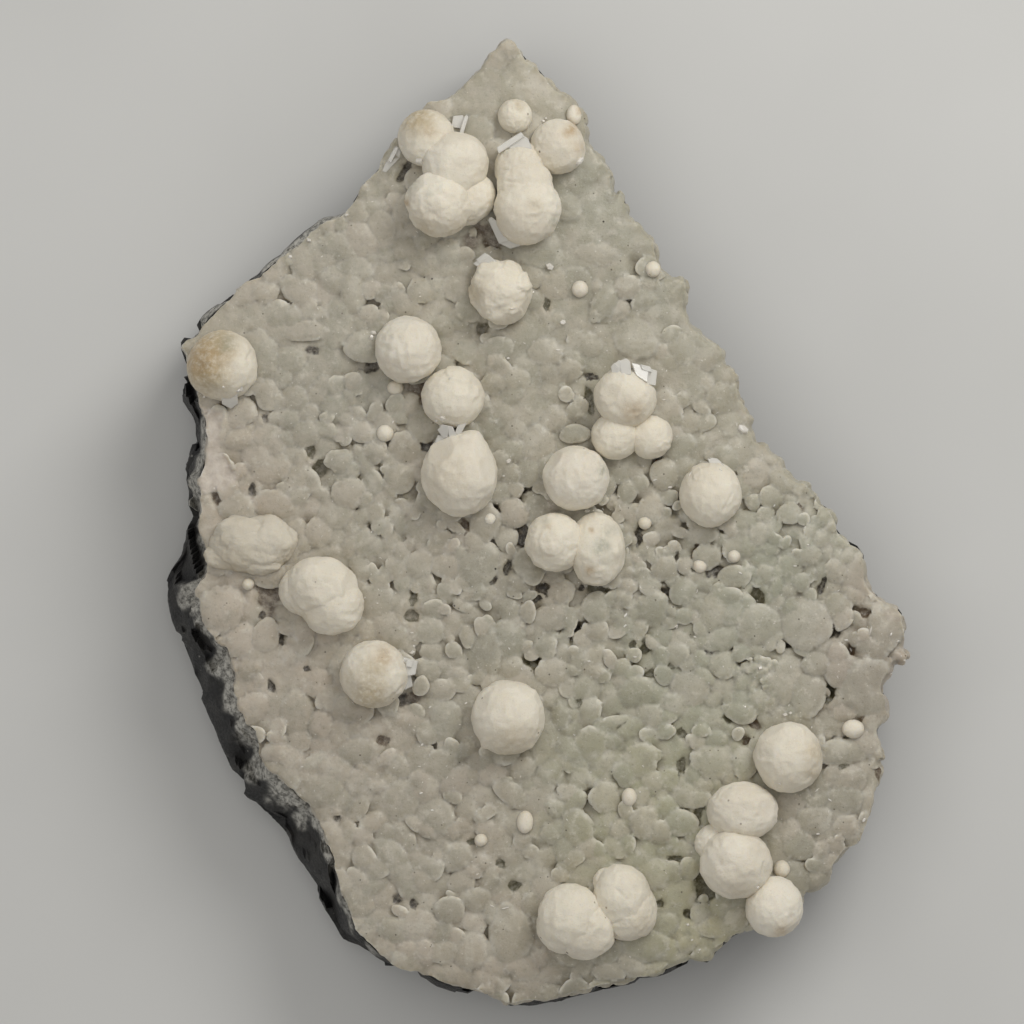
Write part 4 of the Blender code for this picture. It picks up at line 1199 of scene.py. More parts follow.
# Shape of each lobe's skin: lump size, facets (number, depth), fine roughness.
CALM = (0.046, 4, 0.014, 0.0100)
SKIN = {
    "gyrolite_ball_flaky": [(0.05, 9, 0.035, 0.012, 0.055)],
    "gyrolite_ball_lumpy": [(0.060, 4, 0.03, 0.009, 0.015)],
    "gyrolite_cluster_upper_left": [CALM, CALM, CALM, (0.04, 7, 0.03, 0.014, 0.040)],
    "gyrolite_cluster_upper_right": [(0.046, 3, 0.012, 0.012), (0.046, 3, 0.012, 0.012, 0.010), CALM, CALM],
    "gyrolite_ball_left_edge": [(0.035, 5, 0.02, 0.008)],
    "gyrolite_ball_middle": [(0.030, 5, 0.02, 0.009)],
    "gyrolite_mound_left": [(0.16, 3, 0.02, 0.012, 0.045)],
    "gyrolite_ball_right": [(0.034, 4, 0.015, 0.007)],
    "gyrolite_ball_stained": [(0.036, 4, 0.02, 0.010)],
    "gyrolite_ball_lower_middle": [(0.025, 3, 0.012, 0.006)],
    "gyrolite_pair_centre": [(0.045, 4, 0.018, 0.012, 0.022)],
    "gyrolite_cluster_of_three": [(0.045, 4, 0.018, 0.010, 0.012)],
}
# Stains: u, v, reach, strength, kind (0 tan, 1 orange-brown, 2 grey-green).
STAINS = [
    (214, 345, 24, 1.0, 0), (208, 375, 24, 1.0, 0), (200, 362, 16, .8, 1), (227, 345, 9, .8, 2),
    (418, 116, 20, 1.0, 0), (374, 670, 15, .7, 0), (385, 655, 10, .6, 1), (440, 112, 12, .5, 0), (430, 133, 8, .35, 1), (412, 186, 8, .6, 2),
    (405, 203, 4, .9, 1), (430, 196, 4, .5, 2), (425, 232, 12, .5, 0), (455, 236, 12, .4, 0),
    (571, 131, 8, .8, 1), (577, 148, 8, .45, 1), (535, 207, 8, .4, 0), (553, 221, 5, .7, 2),
    (519, 106, 6, .6, 0), (581, 110, 5, .8, 1), (472, 292, 13, .5, 0), (203, 357, 20, .75, 1),
    (222, 350, 15, .55, 1), (205, 388, 16, .7, 0), (455, 480, 28, .35, 0), (632, 412, 11, .5, 1),
    (602, 470, 6, .7, 2), (601, 546, 9, .85, 2), (610, 530, 8, .5, 2), (590, 571, 5, .7, 1),
    (606, 560, 8, .4, 2), (370, 694, 22, .85, 0), (352, 676, 12, .5, 0), (510, 745, 24, .5, 0),
    (816, 752, 11, .6, 0), (812, 772, 10, .5, 0), (780, 932, 10, .55, 1), (300, 622, 16, .45, 0),
    (238, 562, 20, .3, 0), (547, 520, 4, .5, 2), (550, 526, 3, .5, 1), (590, 530, 3, .6, 1),
    (560, 172, 12, .4, 0), (735, 890, 16, .3, 0), (640, 925, 14, .25, 0),
]


# Features of the balls: kind, u, v, half width, half length, turn, height.
# facet: flat cut; lump: soft swelling or dent; plate: raised patch with an edge;
# groove: narrow line along its half width.
FEATURES = {
    "gyrolite_cluster_upper_left": [
        ("plate", 412, 192, 9, 6, 20, 0.9), ("facet", 418, 226, 12, 0, 0, 0), ("plate", 452, 222, 13, 12, 30, 1.0),
        ("groove", 436, 196, 14, 1.2, 8, 0.8), ("lump", 407, 200, 4, 6, 0, 1.6), ("lump", 423, 228, 5, 4, 0, -1.6),
        ("facet", 410, 134, 9, 0, 0, 0), ("groove", 404, 150, 9, 1.0, -60, 1.0), ("lump", 480, 150, 12, 16, 40, 1.3),
        ("lump", 462, 196, 6, 10, 0, 1.2)],
    "gyrolite_cluster_upper_right": [
        ("groove", 520, 184, 18, 1.6, -8, 1.2), ("plate", 556, 207, 7, 9, 10, 0.9), ("groove", 536, 207, 6, 0.9, -25, 0.9),
        ("groove", 533, 212, 4, 0.8, 10, 0.7), ("facet", 560, 160, 10, 0, 0, 0), ("lump", 505, 178, 8, 10, 0, 1.0),
        ("plate", 536, 158, 6, 9, -35, 0.6), ("lump", 563, 140, 9, 8, 0, 0.8)],
    "gyrolite_ball_flaky": [
        ("plate", 525, 282, 8, 9, -20, 2.4), ("plate", 508, 309, 9, 5, -8, 1.0), ("plate", 489, 268, 12, 7, 28, 1.6),
        ("lump", 472, 300, 8, 13, 10, -4.5), ("facet", 528, 305, 11, 0, 0, 0), ("facet", 480, 316, 10, 0, 0, 0),
        ("plate", 512, 268, 9, 6, -25, 1.8),
        ("lump", 497, 320, 12, 6, 0, 1.8), ("plate", 516, 316, 8, 6, 30, 1.1)],
    "gyrolite_ball_upper_middle": [
        ("lump", 383, 352, 6, 12, 0, -1.8), ("plate", 436, 346, 7, 18, 4, 0.8), ("groove", 428, 343, 14, 1.0, 80, 0.7),
        ("lump", 440, 352, 5, 7, 0, -1.0), ("facet", 386, 372, 9, 0, 0, 0)],
    "gyrolite_ball_middle": [
        ("plate", 460, 372, 14, 10, -22, 1.5), ("groove", 447, 383, 8, 1.2, -12, 1.0), ("facet", 476, 380, 8, 0, 0, 0),
        ("lump", 452, 424, 9, 5, 0, -1.4)],
    "gyrolite_ball_large_middle": [
        ("lump", 478, 436, 11, 9, 0, 6.0), ("facet", 440, 450, 14, 0, 0, 0), ("lump", 485, 500, 10, 10, 0, -1.6),
        ("facet", 490, 468, 12, 0, 0, 0), ("lump", 500, 478, 6, 12, 0, -1.2)],
    "gyrolite_ball_left_edge": [
        ("lump", 247, 374, 8, 12, 0, 2.0), ("facet", 208, 392, 13, 0, 0, 0), ("groove", 250, 355, 8, 1.4, 60, 1.2),
        ("lump", 214, 396, 12, 8, 0, -3.0)],
    "gyrolite_cluster_of_three": [
        ("facet", 610, 394, 12, 0, 0, 0), ("plate", 666, 432, 6, 12, 5, 0.9), ("lump", 640, 405, 14, 12, 0, 1.2),
        ("groove", 640, 412, 12, 1.0, 0, 0.5), ("plate", 664, 446, 6, 5, 30, 1.2)],
    "gyrolite_ball_centre": [
        ("plate", 594, 466, 9, 16, 20, 0.8), ("plate", 560, 492, 13, 13, 35, 0.8), ("groove", 598, 470, 12, 0.8, 68, 0.7),
        ("facet", 552, 460, 12, 0, 0, 0), ("plate", 592, 499, 11, 8, -20, 0.9), ("groove", 603, 474, 10, 0.8, 75, 0.6)],
    "gyrolite_pair_centre": [
        ("plate", 551, 543, 12, 13, 5, 1.0), ("lump", 545, 560, 12, 6, -20, -1.5), ("groove", 548, 542, 9, 0.8, 3, 0.5),
        ("plate", 604, 512, 9, 10, -35, 1.0), ("facet", 612, 530, 11, 0, 0, 0), ("lump", 601, 545, 8, 7, 0, -1.4),
        ("plate", 600, 576, 12, 8, 15, 0.9), ("plate", 545, 520, 12, 8, 12, 0.6), ("lump", 616, 552, 5, 7, 0, 1.8)],
    "gyrolite_ball_right": [
        ("plate", 697, 474, 5, 8, 8, 1.1), ("lump", 722, 500, 5, 12, 0, 0.8), ("groove", 727, 502, 12, 1.2, 60, 0.9),
        ("facet", 690, 512, 12, 0, 0, 0), ("lump", 709, 470, 12, 6, 0, 1.2)],
    "gyrolite_ball_lumpy": [
        ("facet", 316, 612, 11, 0, 0, 0), ("facet", 352, 585, 12, 0, 0, 0), ("facet", 332, 566, 12, 0, 0, 0),
        ("facet", 292, 580, 10, 0, 0, 0), ("lump", 352, 625, 6, 6, 0, 1.6)],
    "gyrolite_ball_stained": [
        ("groove", 390, 655, 22, 1.6, -55, 1.1), ("plate", 400, 682, 9, 12, 10, 1.0), ("facet", 352, 690, 11, 0, 0, 0),
        ("groove", 398, 690, 8, 1.0, 50, 1.2), ("lump", 358, 642, 10, 5, 0, -1.2)],
    "gyrolite_ball_lower_middle": [
        ("facet", 527, 708, 9, 0, 0, 0), ("lump", 533, 692, 4, 4, 0, 2.6), ("lump", 484, 745, 5, 4, 0, 2.4),
        ("lump", 499, 753, 4, 3, 0, 1.6), ("lump", 513, 691, 5, 3, 0, -1.3), ("facet", 480, 704, 12, 0, 0, 0),
        ("lump", 532, 748, 5, 4, 0, 1.8), ("facet", 543, 722, 11, 0, 0, 0), ("plate", 506, 716, 6, 5, 20, 0.5)],
    "gyrolite_ball_lower_right": [
        ("facet", 762, 776, 12, 0, 0, 0), ("plate", 814, 760, 7, 16, 6, 0.7), ("facet", 772, 728, 11, 0, 0, 0),
        ("groove", 806, 780, 9, 1.0, 55, 0.7), ("lump", 800, 727, 9, 5, 0, 0.9)],
    "gyrolite_cluster_lower_right": [
        ("lump", 767, 872, 4, 9, 10, -2.6), ("groove", 762, 868, 9, 1.2, 75, 1.4), ("facet", 768, 808, 12, 0, 0, 0),
        ("facet", 793, 929, 9, 0, 0, 0), ("plate", 783, 920, 8, 6, 30, 0.9), ("groove", 786, 898, 10, 1.1, -60, 1.1),
        ("lump", 716, 862, 8, 6, 0, -1.2), ("facet", 708, 868, 10, 0, 0, 0)],
    "gyrolite_pair_bottom": [
        ("facet", 600, 938, 9, 0, 0, 0), ("facet", 550, 904, 10, 0, 0, 0), ("lump", 607, 943, 7, 5, 0, 1.4),
        ("groove", 621, 893, 12, 1.5, -42, 1.3), ("lump", 582, 955, 12, 4, 0, -1.2)],
}


def cube_sphere(n):
    """Unit directions and quads of a sphere grown from a cube."""
    faces, pts, index = [], [], {}
    for axis in range(3):
        for sign in (-1, 1):
            grid = np.empty((n + 1, n + 1), int)
            for i in range(n + 1):
                for j in range(n + 1):
                    k = [0, 0, 0]
                    k[axis] = sign * n
                    k[(axis + 1) % 3] = 2 * i - n
                    k[(axis + 2) % 3] = 2 * j - n
                    key = tuple(k)
                    if key not in index:
                        index[key] = len(pts)
                        pts.append([math.tan(c / n * math.pi / 4) for c in k])
                    grid[i, j] = index[key]
            for i in range(n):
                for j in range(n):
                    q = (grid[i, j], grid[i + 1, j], grid[i + 1, j + 1], grid[i, j + 1])
                    faces.append(q if sign > 0 else q[::-1])
    p = np.array(pts)
    p /= np.linalg.norm(p, axis=1)[:, None]
    return p, np.array(faces, np.int32)


SPHERES = {}


def sphere(n):
    if n not in SPHERES:
        SPHERES[n] = cube_sphere(n)
    return SPHERES[n]


def ball_points(dirs, r, stretch, skin, seed, mid=(0, 0), marks=()):
    lump, facets, cut, rough = skin[:4]
    rng = np.random.default_rng(seed)
    shift = rng.uniform(-50, 50, 3)
    q = dirs + shift
    k = 1 + lump * (noise3(q, 0.95, seed) + 0.55 * noise3(q, 0.5, seed + 1) + 0.22 * noise3(q, 0.24, seed + 2))
    k += rough * (noise3(q, 0.12, seed + 3) + 0.7 * noise3(q, 0.06, seed + 4))
    fans = noise3(q + 3, 0.30, seed + 31)
    k += 0.019 * (1 - np.abs(fans) * 2.2) + 0.012 * noise3(q + 7, 0.17, seed + 32)
    if len(skin) > 4:
        # flaky: thin layers that end in small steps
        for layer, (size, tall) in enumerate(((0.62, 1.0), (0.36, 0.6))):
            w = noise3(q + 9, size, seed + 11 + layer) + 0.35 * noise3(q + 5, size * 0.4, seed + 21 + layer)
            w = w * 2.6
            whole = np.floor(w)
            k += skin[4] * tall * (whole + step(w - whole, 0.0, 0.16) - 0.5) / 2.6
    if facets:
        nrm = rng.normal(size=(facets, 3))
        nrm[:, 2] = np.abs(nrm[:, 2]) * 0.8
        nrm /= np.linalg.norm(nrm, axis=1)[:, None]
        h = 1 - cut * rng.uniform(0.5, 1.3, facets)
        dot = dirs @ nrm.T
        lim = np.where(dot > 0.3, h / np.maximum(dot, 0.3), 9).min(1)
        k = np.minimum(k, lim + 0.35 * (k - 1) + 0.004)
    rr = r / UNIT
    x = mid[0] + dirs[:, 0] * rr * stretch[0] * k
    y = mid[1] - dirs[:, 1] * rr * stretch[1] * k
    ripple = noise3(np.column_stack((x, y, dirs[:, 2] * rr)), 5, seed) * 0.8
    up = step(dirs[:, 2], -0.15, 0.10)
    for kind, u, v, a, b, turn, h in marks:
        if math.hypot((u - mid[0]) / stretch[0], (v - mid[1]) / stretch[1]) > 1.12 * rr:
            continue
        if kind == "facet":
            w = np.array(((u - mid[0]) / rr / stretch[0], (mid[1] - v) / rr / stretch[1], 0.0))
            size = min(0.97, math.hypot(w[0], w[1]))
            w[2] = math.sqrt(1 - size * size)
            w /= np.linalg.norm(w)
            dot = dirs @ w
            lim = np.where(dot > 0.3, math.cos(a / rr) / np.maximum(dot, 0.3), 9)
            k = np.minimum(k, lim + 0.20 * (k - 1) + ripple * 0.002)
            continue
        c, s = math.cos(math.radians(turn)), math.sin(math.radians(turn))
        p = ((x - u) * c - (y - v) * s) + ripple
        q = ((x - u) * s + (y - v) * c) + ripple * 0.7
        if kind == "lump":
            w = np.exp(-(p / a) ** 2 - (q / b) ** 2)
        elif kind == "plate":
            t = (np.abs(p / a) ** 3.2 + np.abs(q / b) ** 3.2) ** (1 / 3.2)
            w = step((1 - t) * min(a, b), -0.5, 1.1)
        else:
            w = -np.exp(-(q / b) ** 2) * step(np.abs(p), a, a * 0.6)
        k = k + h / rr * w * up
    return dirs * (r * k)[:, None] * np.array(stretch)


def build_ball(name, spec, n, skins):
    """A ball, or several grown into one, with its flat scar below."""
    first = None
    centres = np.array([s[:2] for s in spec], float)
    lv = level(centres)
    for i, (u, v, r, lift, stretch) in enumerate(spec):
        rr = r * UNIT
        x, y = place(u, v)
        z = lv[i] + lift * rr
        dirs, faces = sphere(n if r > 25 or len(spec) == 1 else int(n * 0.75))
        seed = (int(u) * 7 + int(v) * 13) % 9973
        p = ball_points(dirs, rr, stretch, skins[min(i, len(skins) - 1)], seed, (u, v), FEATURES.get(name, ()))
        obj = mesh_object(name + ("_skin" if i == 0 else "_lobe%d" % i), p + np.array((x, y, z)), faces)
        if first is None:
            first = obj
        else:
            mod = first.modifiers.new("join%d" % i, 'BOOLEAN')
            mod.operation = 'UNION'
            mod.solver = 'MANIFOLD'
            mod.object = obj
    if len(spec) > 1:
        bpy.context.view_layer.update()
        me = bpy.data.meshes.new_from_object(first.evaluated_get(bpy.context.evaluated_depsgraph_get()))
        others = [m.object for m in first.modifiers]
        first.modifiers.clear()
        first.data = me
        for o in others:
            bpy.data.objects.remove(o, do_unlink=True)
    scar = min(lv[i] + s[3] * s[2] * UNIT - 0.5 * s[2] * UNIT * s[4][2] for i, s in enumerate(spec))
    co = np.empty(len(first.data.vertices) * 3, np.float32)
    first.data.vertices.foreach_get("co", co)
    co = co.reshape(-1, 3)
    co[:, 2] = np.maximum(co[:, 2], scar)
    first.data.vertices.foreach_set("co", co.ravel())
    first.data.update()
    first.data.shade_smooth()
    first.data.set_sharp_from_angle(angle=math.radians(50))
    # stains, and a darker, browner band round the foot of each ball
    P = np.column_stack((co[:, 0] / UNIT + MID_U, MID_V - co[:, 1] / UNIT))
    st = np.zeros((len(P), 3))
    q = P + np.column_stack((noise3(co / UNIT, 9, 91), noise3(co / UNIT, 9, 92))) * 2.5
    for u, v, reach, power, kind in STAINS:
        w = power * np.exp(-(((q[:, 0] - u) ** 2 + (q[:, 1] - v) ** 2) / reach ** 2) ** 1.3)
        st[:, kind] = np.maximum(st[:, kind], w)
    lift = (co[:, 2] - lv.mean()) / UNIT
    foot = step(lift, 9.0, -3.0)
    rnd = random.Random(name).random()
    paint(first, "stain", st)
    paint(first, "foot", np.column_stack((foot, np.full(len(P), rnd), np.full(len(P), 1.0 * ("mound" in name)))))
    return first


def gyrolite_material():
    m = Mat("gyrolite")
    tan, rust, green = m.split(m.attr("stain").outputs["Color"])
    foot, rnd, dull = m.split(m.attr("foot").outputs["Color"])
    big = m.noise(160, 3, 0.55)
    mid = m.noise(800, 4, 0.6)
    fine = m.noise(4300, 3, 0.7)
    col = m.mix(m.ramp(rnd, 0, 1, 0, 0.8, False), (0.800, 0.748, 0.632), (0.830, 0.785, 0.690))
    col = m.mix(m.ramp(big, 0.38, 0.68, 0.0, 0.50), col, (0.665, 0.600, 0.490))
    col = m.mix(m.ramp(mid, 0.50, 0.75, 0.0, 0.35), col, (0.81, 0.765, 0.680))
    col = m.mix(m.ramp(fine, 0.44, 0.26, 0.0, 0.50), col, (0.560, 0.500, 0.405))
    col = m.mix(m.ramp(fine, 0.56, 0.74, 0.0, 0.50), col, (0.860, 0.830, 0.760))
    col = m.mix(m.math('MULTIPLY', dull, 0.42), col, (0.450, 0.405, 0.325))
    grit = m.ramp(m.noise(1400, 4, 0.7), 0.25, 0.65, 0.35, 1.0)
    # darker and browner towards the foot of the ball
    col = m.mix(m.math('MULTIPLY', foot, 0.62), col, (0.370, 0.300, 0.200))
    col = m.mix(m.math('MULTIPLY', tan, m.math('MULTIPLY', grit, 0.95)), col, (0.490, 0.400, 0.255))
    col = m.mix(m.math('MULTIPLY', rust, m.math('MULTIPLY', grit, 0.95)), col, (0.430, 0.290, 0.140))
    col = m.mix(m.math('MULTIPLY', green, m.math('MULTIPLY', grit, 0.80)), col, (0.330, 0.340, 0.270))
    col = m.mix(m.math('MULTIPLY', m.specks(640, 0.15, 0.07, (2, 4, 6)), 0.6), col, (0.16, 0.11, 0.07))
    col = m.mix(m.math('MULTIPLY', m.specks(270, 0.07, 0.10, (5, 2, 9)), 0.8), col, (0.09, 0.06, 0.04))
    bump = m.bump(fine, 0.55, 0.00013)
    bump = m.bump(mid, 0.40, 0.00035, bump)
    m.set(Base_Color=col, Roughness=m.ramp(mid, 0.3, 0.7, 0.62, 0.82), IOR=1.54, Normal=bump)
    m.set(Subsurface_Weight=0.35, Subsurface_Radius=(1.0, 0.85, 0.6), Subsurface_Scale=0.0007)
    m.put(m.bsdf.inputs["Specular IOR Level"], 0.32)
    return m.mat


# ------------------------------------------------------- apophyllite crystals
# Each crystal is one or more prisms: corners (u, v), height of the top at each
# corner or of all, height of the foot (both over the mean face, in plan units),
# and width of the bevel.
CRYSTALS = {
    "apophyllite_slab_rim": [
        ([(382, 171), (385, 164), (394, 148), (398, 146), (401, 151), (400, 158), (391, 167), (386, 173)],
         [3, 6, 9, 10, 9, 7, 5, 3], -6, 0.7),
        ([(388, 160), (396, 146), (399, 148), (391, 163)], [9, 12, 12, 9], -2, 0.4)],
    "apophyllite_needle": [
        ([(459, 134), (463, 135), (468.5, 117), (466.5, 115), (464.5, 116.5)], [13, 13, 10, 10, 10], 0, 0.5),
        ([(451, 127), (453, 116), (463, 115), (465, 121), (462, 129)], 5, -3, 0.6)],
    "apophyllite_blade_top": [
        ([(496.5, 148), (498.5, 154.5), (524.5, 137.5), (521, 132.5)], [25, 25, 31, 31], 12, 0.7),
        ([(507, 148), (523, 136), (528, 139), (532, 149), (522, 154)], [24, 28, 28, 27, 27], 8, 0.7)],
    "apophyllite_blade_side": [
        ([(488, 220), (491, 217), (506, 228), (510, 241), (499, 244)], [15, 17, 21, 16, 12], 3, 0.7),
        ([(498, 238), (510, 232), (521, 246), (510, 249), (500, 244)], [13, 17, 15, 12, 11], 2, 0.7)],
    "apophyllite_on_flaky_ball": [
        ([(473, 264), (487, 254), (497, 262), (484, 272)], [20, 26, 27, 22], 6, 0.6),
        ([(476, 260), (485, 253), (489, 257), (480, 264)], [23, 27, 26, 23], 10, 0.4)],
    "apophyllite_block_left": [
        ([(611.5, 373.5), (610.5, 367), (614, 363), (619, 368), (618, 375)], [31, 31, 33, 34, 34], 14, 0.6),
        ([(614, 364), (619, 360), (624, 366), (620, 375), (617, 372)], [30, 30, 33, 34, 33], 14, 0.5),
        ([(619, 361), (626, 358.5), (630, 362), (631, 375), (621, 376)], [30, 31, 33, 38, 37], 14, 0.7)],
    "apophyllite_block_right": [
        ([(631, 363), (637, 364), (649, 369), (647, 383), (636, 376)], [31, 32, 32, 36, 37], 14, 0.7),
        ([(648, 368), (657, 371), (655.5, 386), (645, 384)], [28, 26, 28, 34], 12, 0.7),
        ([(640, 364.5), (650, 367), (652, 373), (642, 370)], [34, 33, 33, 35], 20, 0.5)],
    "apophyllite_group_middle": [
        ([(437.5, 430), (442, 424.5), (449, 426), (448, 438), (443, 438)], [27, 33, 33, 27, 26], 1, 0.5),
        ([(448, 425.5), (453, 427), (458, 439), (449, 439)], [33, 32, 27, 28], 1, 0.5),
        ([(458, 425), (467, 423), (459, 438), (455, 433)], [29, 28, 25, 27], 1, 0.5),
        ([(438, 435), (451, 437), (450, 446), (436, 451), (433.5, 446)], [24, 25, 23, 20, 20], -3, 0.7)],
    "apophyllite_on_right_ball": [
        ([(707, 458.5), (718, 460), (724.5, 466), (719.5, 471), (710, 466)], [22, 22, 21, 23, 24], 10, 0.7),
        ([(709, 457.5), (717, 458.5), (722, 463), (713, 462)], [18, 18, 17, 18], 8, 0.4)],
    "apophyllite_on_stained_ball": [
        ([(403, 656.5), (418, 661), (415.5, 674.5), (402, 677)], [22, 20, 19, 23], 4, 0.7),
        ([(400, 674), (411, 675), (413, 686), (405, 690), (398, 685)], [22, 17, 13, 12, 20], 1, 0.8),
        ([(407, 659), (413, 660.5), (412, 667), (406, 666)], [25, 24, 24, 25], 14, 0.4)],
    "apophyllite_left_corner": [
        ([(223, 380), (241, 379), (244, 391), (232, 394), (223, 391)], [40, 34, 26, 27, 31], 2, 0.8),
        ([(222, 390), (238, 393), (238, 404), (231, 409), (222, 404)], [27, 24, 12, 9, 14], -2, 0.8)],
}


def prism(bm, corners, tops, foot, bevel):
    """A bevelled prism over a plan outline; its bevelled edges are marked for a painted highlight."""
    highlight_layer = bm.loops.layers.float_color.get("edge") or bm.loops.layers.float_color.new("edge")
    n = len(corners)
    tops = [tops] * n if isinstance(tops, (int, float)) else tops
    lv = float(level(np.array(corners, float)).mean())
    mid = np.mean(corners, 0)
    top, low = [], []
    # a plane through the given tops keeps the end flat
    A = np.column_stack((np.array(corners, float) - mid, np.ones(n)))
    plane = np.linalg.lstsq(A, np.array(tops, float), rcond=None)[0]
    for k, (u, v) in enumerate(corners):
        x, y = place(u, v)
        top.append(bm.verts.new((x, y, lv + float(A[k] @ plane) * UNIT)))
        x, y = place(mid[0] + (u - mid[0]) * 0.97, mid[1] + (v - mid[1]) * 0.97)
        low.append(bm.verts.new((x, y, lv + foot * UNIT)))
    faces = [bm.faces.new(top), bm.faces.new(low[::-1])]
    for k in range(n):
        j = (k + 1) % n
        faces.append(bm.faces.new((top[j], top[k], low[k], low[j])))
    bmesh.ops.recalc_face_normals(bm, faces=faces)
    edges = list({e for f in faces for e in f.edges})
    res = bmesh.ops.bevel(bm, geom=edges, offset=bevel * UNIT, segments=1, affect='EDGES', profile=0.5)
    highlight_faces = set(res["faces"])
    for f in bm.faces:
        if f in highlight_faces:
            for loop in f.loops:
                loop[highlight_layer] = (1, 1, 1, 1)


def build_crystal(name, shapes):
    bm = bmesh.new()
    for shape in shapes:
        part = bmesh.new()
        prism(part, *shape)
        me = bpy.data.meshes.new("part")
        part.to_mesh(me)
        part.free()
        bm.from_mesh(me)
        bpy.data.meshes.remove(me)
    me = bpy.data.meshes.new(name + "_prisms")
    bm.to_mesh(me)
    bm.free()
    obj = bpy.data.objects.new(name + "_prisms", me)
    bpy.context.scene.collection.objects.link(obj)
    return obj


# Small crystals seen as bright points: u, v, length, width, turn.
GLINTS = [
    (421, 160, 9, 8, 20), (579, 161, 9, 6, 50), (443, 418, 6, 6, 10), (437, 421, 3, 3, 0),
    (743, 430, 12, 8, -25), (760, 668, 5, 4, 10), (785, 715, 6, 4, 0), (790, 713, 4, 3, 30),
    (757, 886, 3.4, 3, 0), (587, 511, 6, 4, 15), (550, 266, 9, 6, -30), (563, 322, 6, 5, 0),
    (508, 461, 6, 4, 40), (504, 476, 3, 2, 0), (558, 350, 5, 2, 0), (508, 358, 4, 2, 0),
    (664, 548, 4, 2, 20), (795, 566, 4, 2, 0), (808, 545, 3, 2, 0), (676, 626, 5, 2, 30),
    (695, 637, 4, 2, -20), (626, 615, 7, 2, 60), (625, 626, 5, 2, 40), (677, 627, 5, 2, 70),
    (635, 657, 4, 2, 0), (589, 661, 4, 2, 0), (740, 573, 5, 2, -30), (421, 793, 4, 2, 20),
    (432, 810, 4, 2, 0), (422, 745, 4, 2, 50), (412, 633, 4, 2, 0), (450, 379, 3, 2.4, 0),
    (224, 387, 3, 2.4, 0), (239, 390, 3.4, 2.4, 0), (204, 396, 5, 3, 70), (502, 149, 2.6, 2, 30),
    (466, 118, 3, 2, 70), (373, 334, 7, 6, 0), (371, 338, 5, 5, 30), (543, 121, 4, 3, 0),
    (546, 118, 3, 3, 0), (513, 309, 7, 1.6, -6), (533, 292, 3, 2, 60), (309, 240, 6, 4, -30),
    (347, 215, 5, 3, 0), (290, 257, 4, 3, 0), (868, 830, 4, 2.4, 0), (864, 820, 5, 3, 60),
    (779, 783, 3, 2, 0), (817, 790, 7, 1.6, 40), (830, 800, 5, 1.6, -30), (898, 641, 4, 2, 30),
    (891, 634, 4, 2, 60), (871, 630, 8, 1.6, 80), (851, 650, 6, 1.6, -60), (846, 640, 5, 2, 0),
    (430, 707, 4, 2, 40), (745, 707, 3, 2, 60), (818, 834, 4, 2, 0), (640, 792, 3, 2, 0),
    (629, 797, 3, 3, 0), (700, 950, 4, 2, 30), (688, 925, 4, 3, 0), (692, 940, 3, 2, 40),
    (505, 908, 9, 1.4, 12), (492, 906, 5, 1.4, -20), (720, 470, 4, 1.4, -40), (690, 474, 7, 1.3, 86),
    (655, 480, 6, 1.6, 20), (670, 487, 5, 1.6, -10), (603, 509, 4, 1.6, -50), (664, 400, 4, 2, 0),
    (486, 519, 3, 2, 0), (466, 703, 3, 2, 30), (412, 652, 6, 3, 30), (414, 646, 4, 2.4, -20),
]


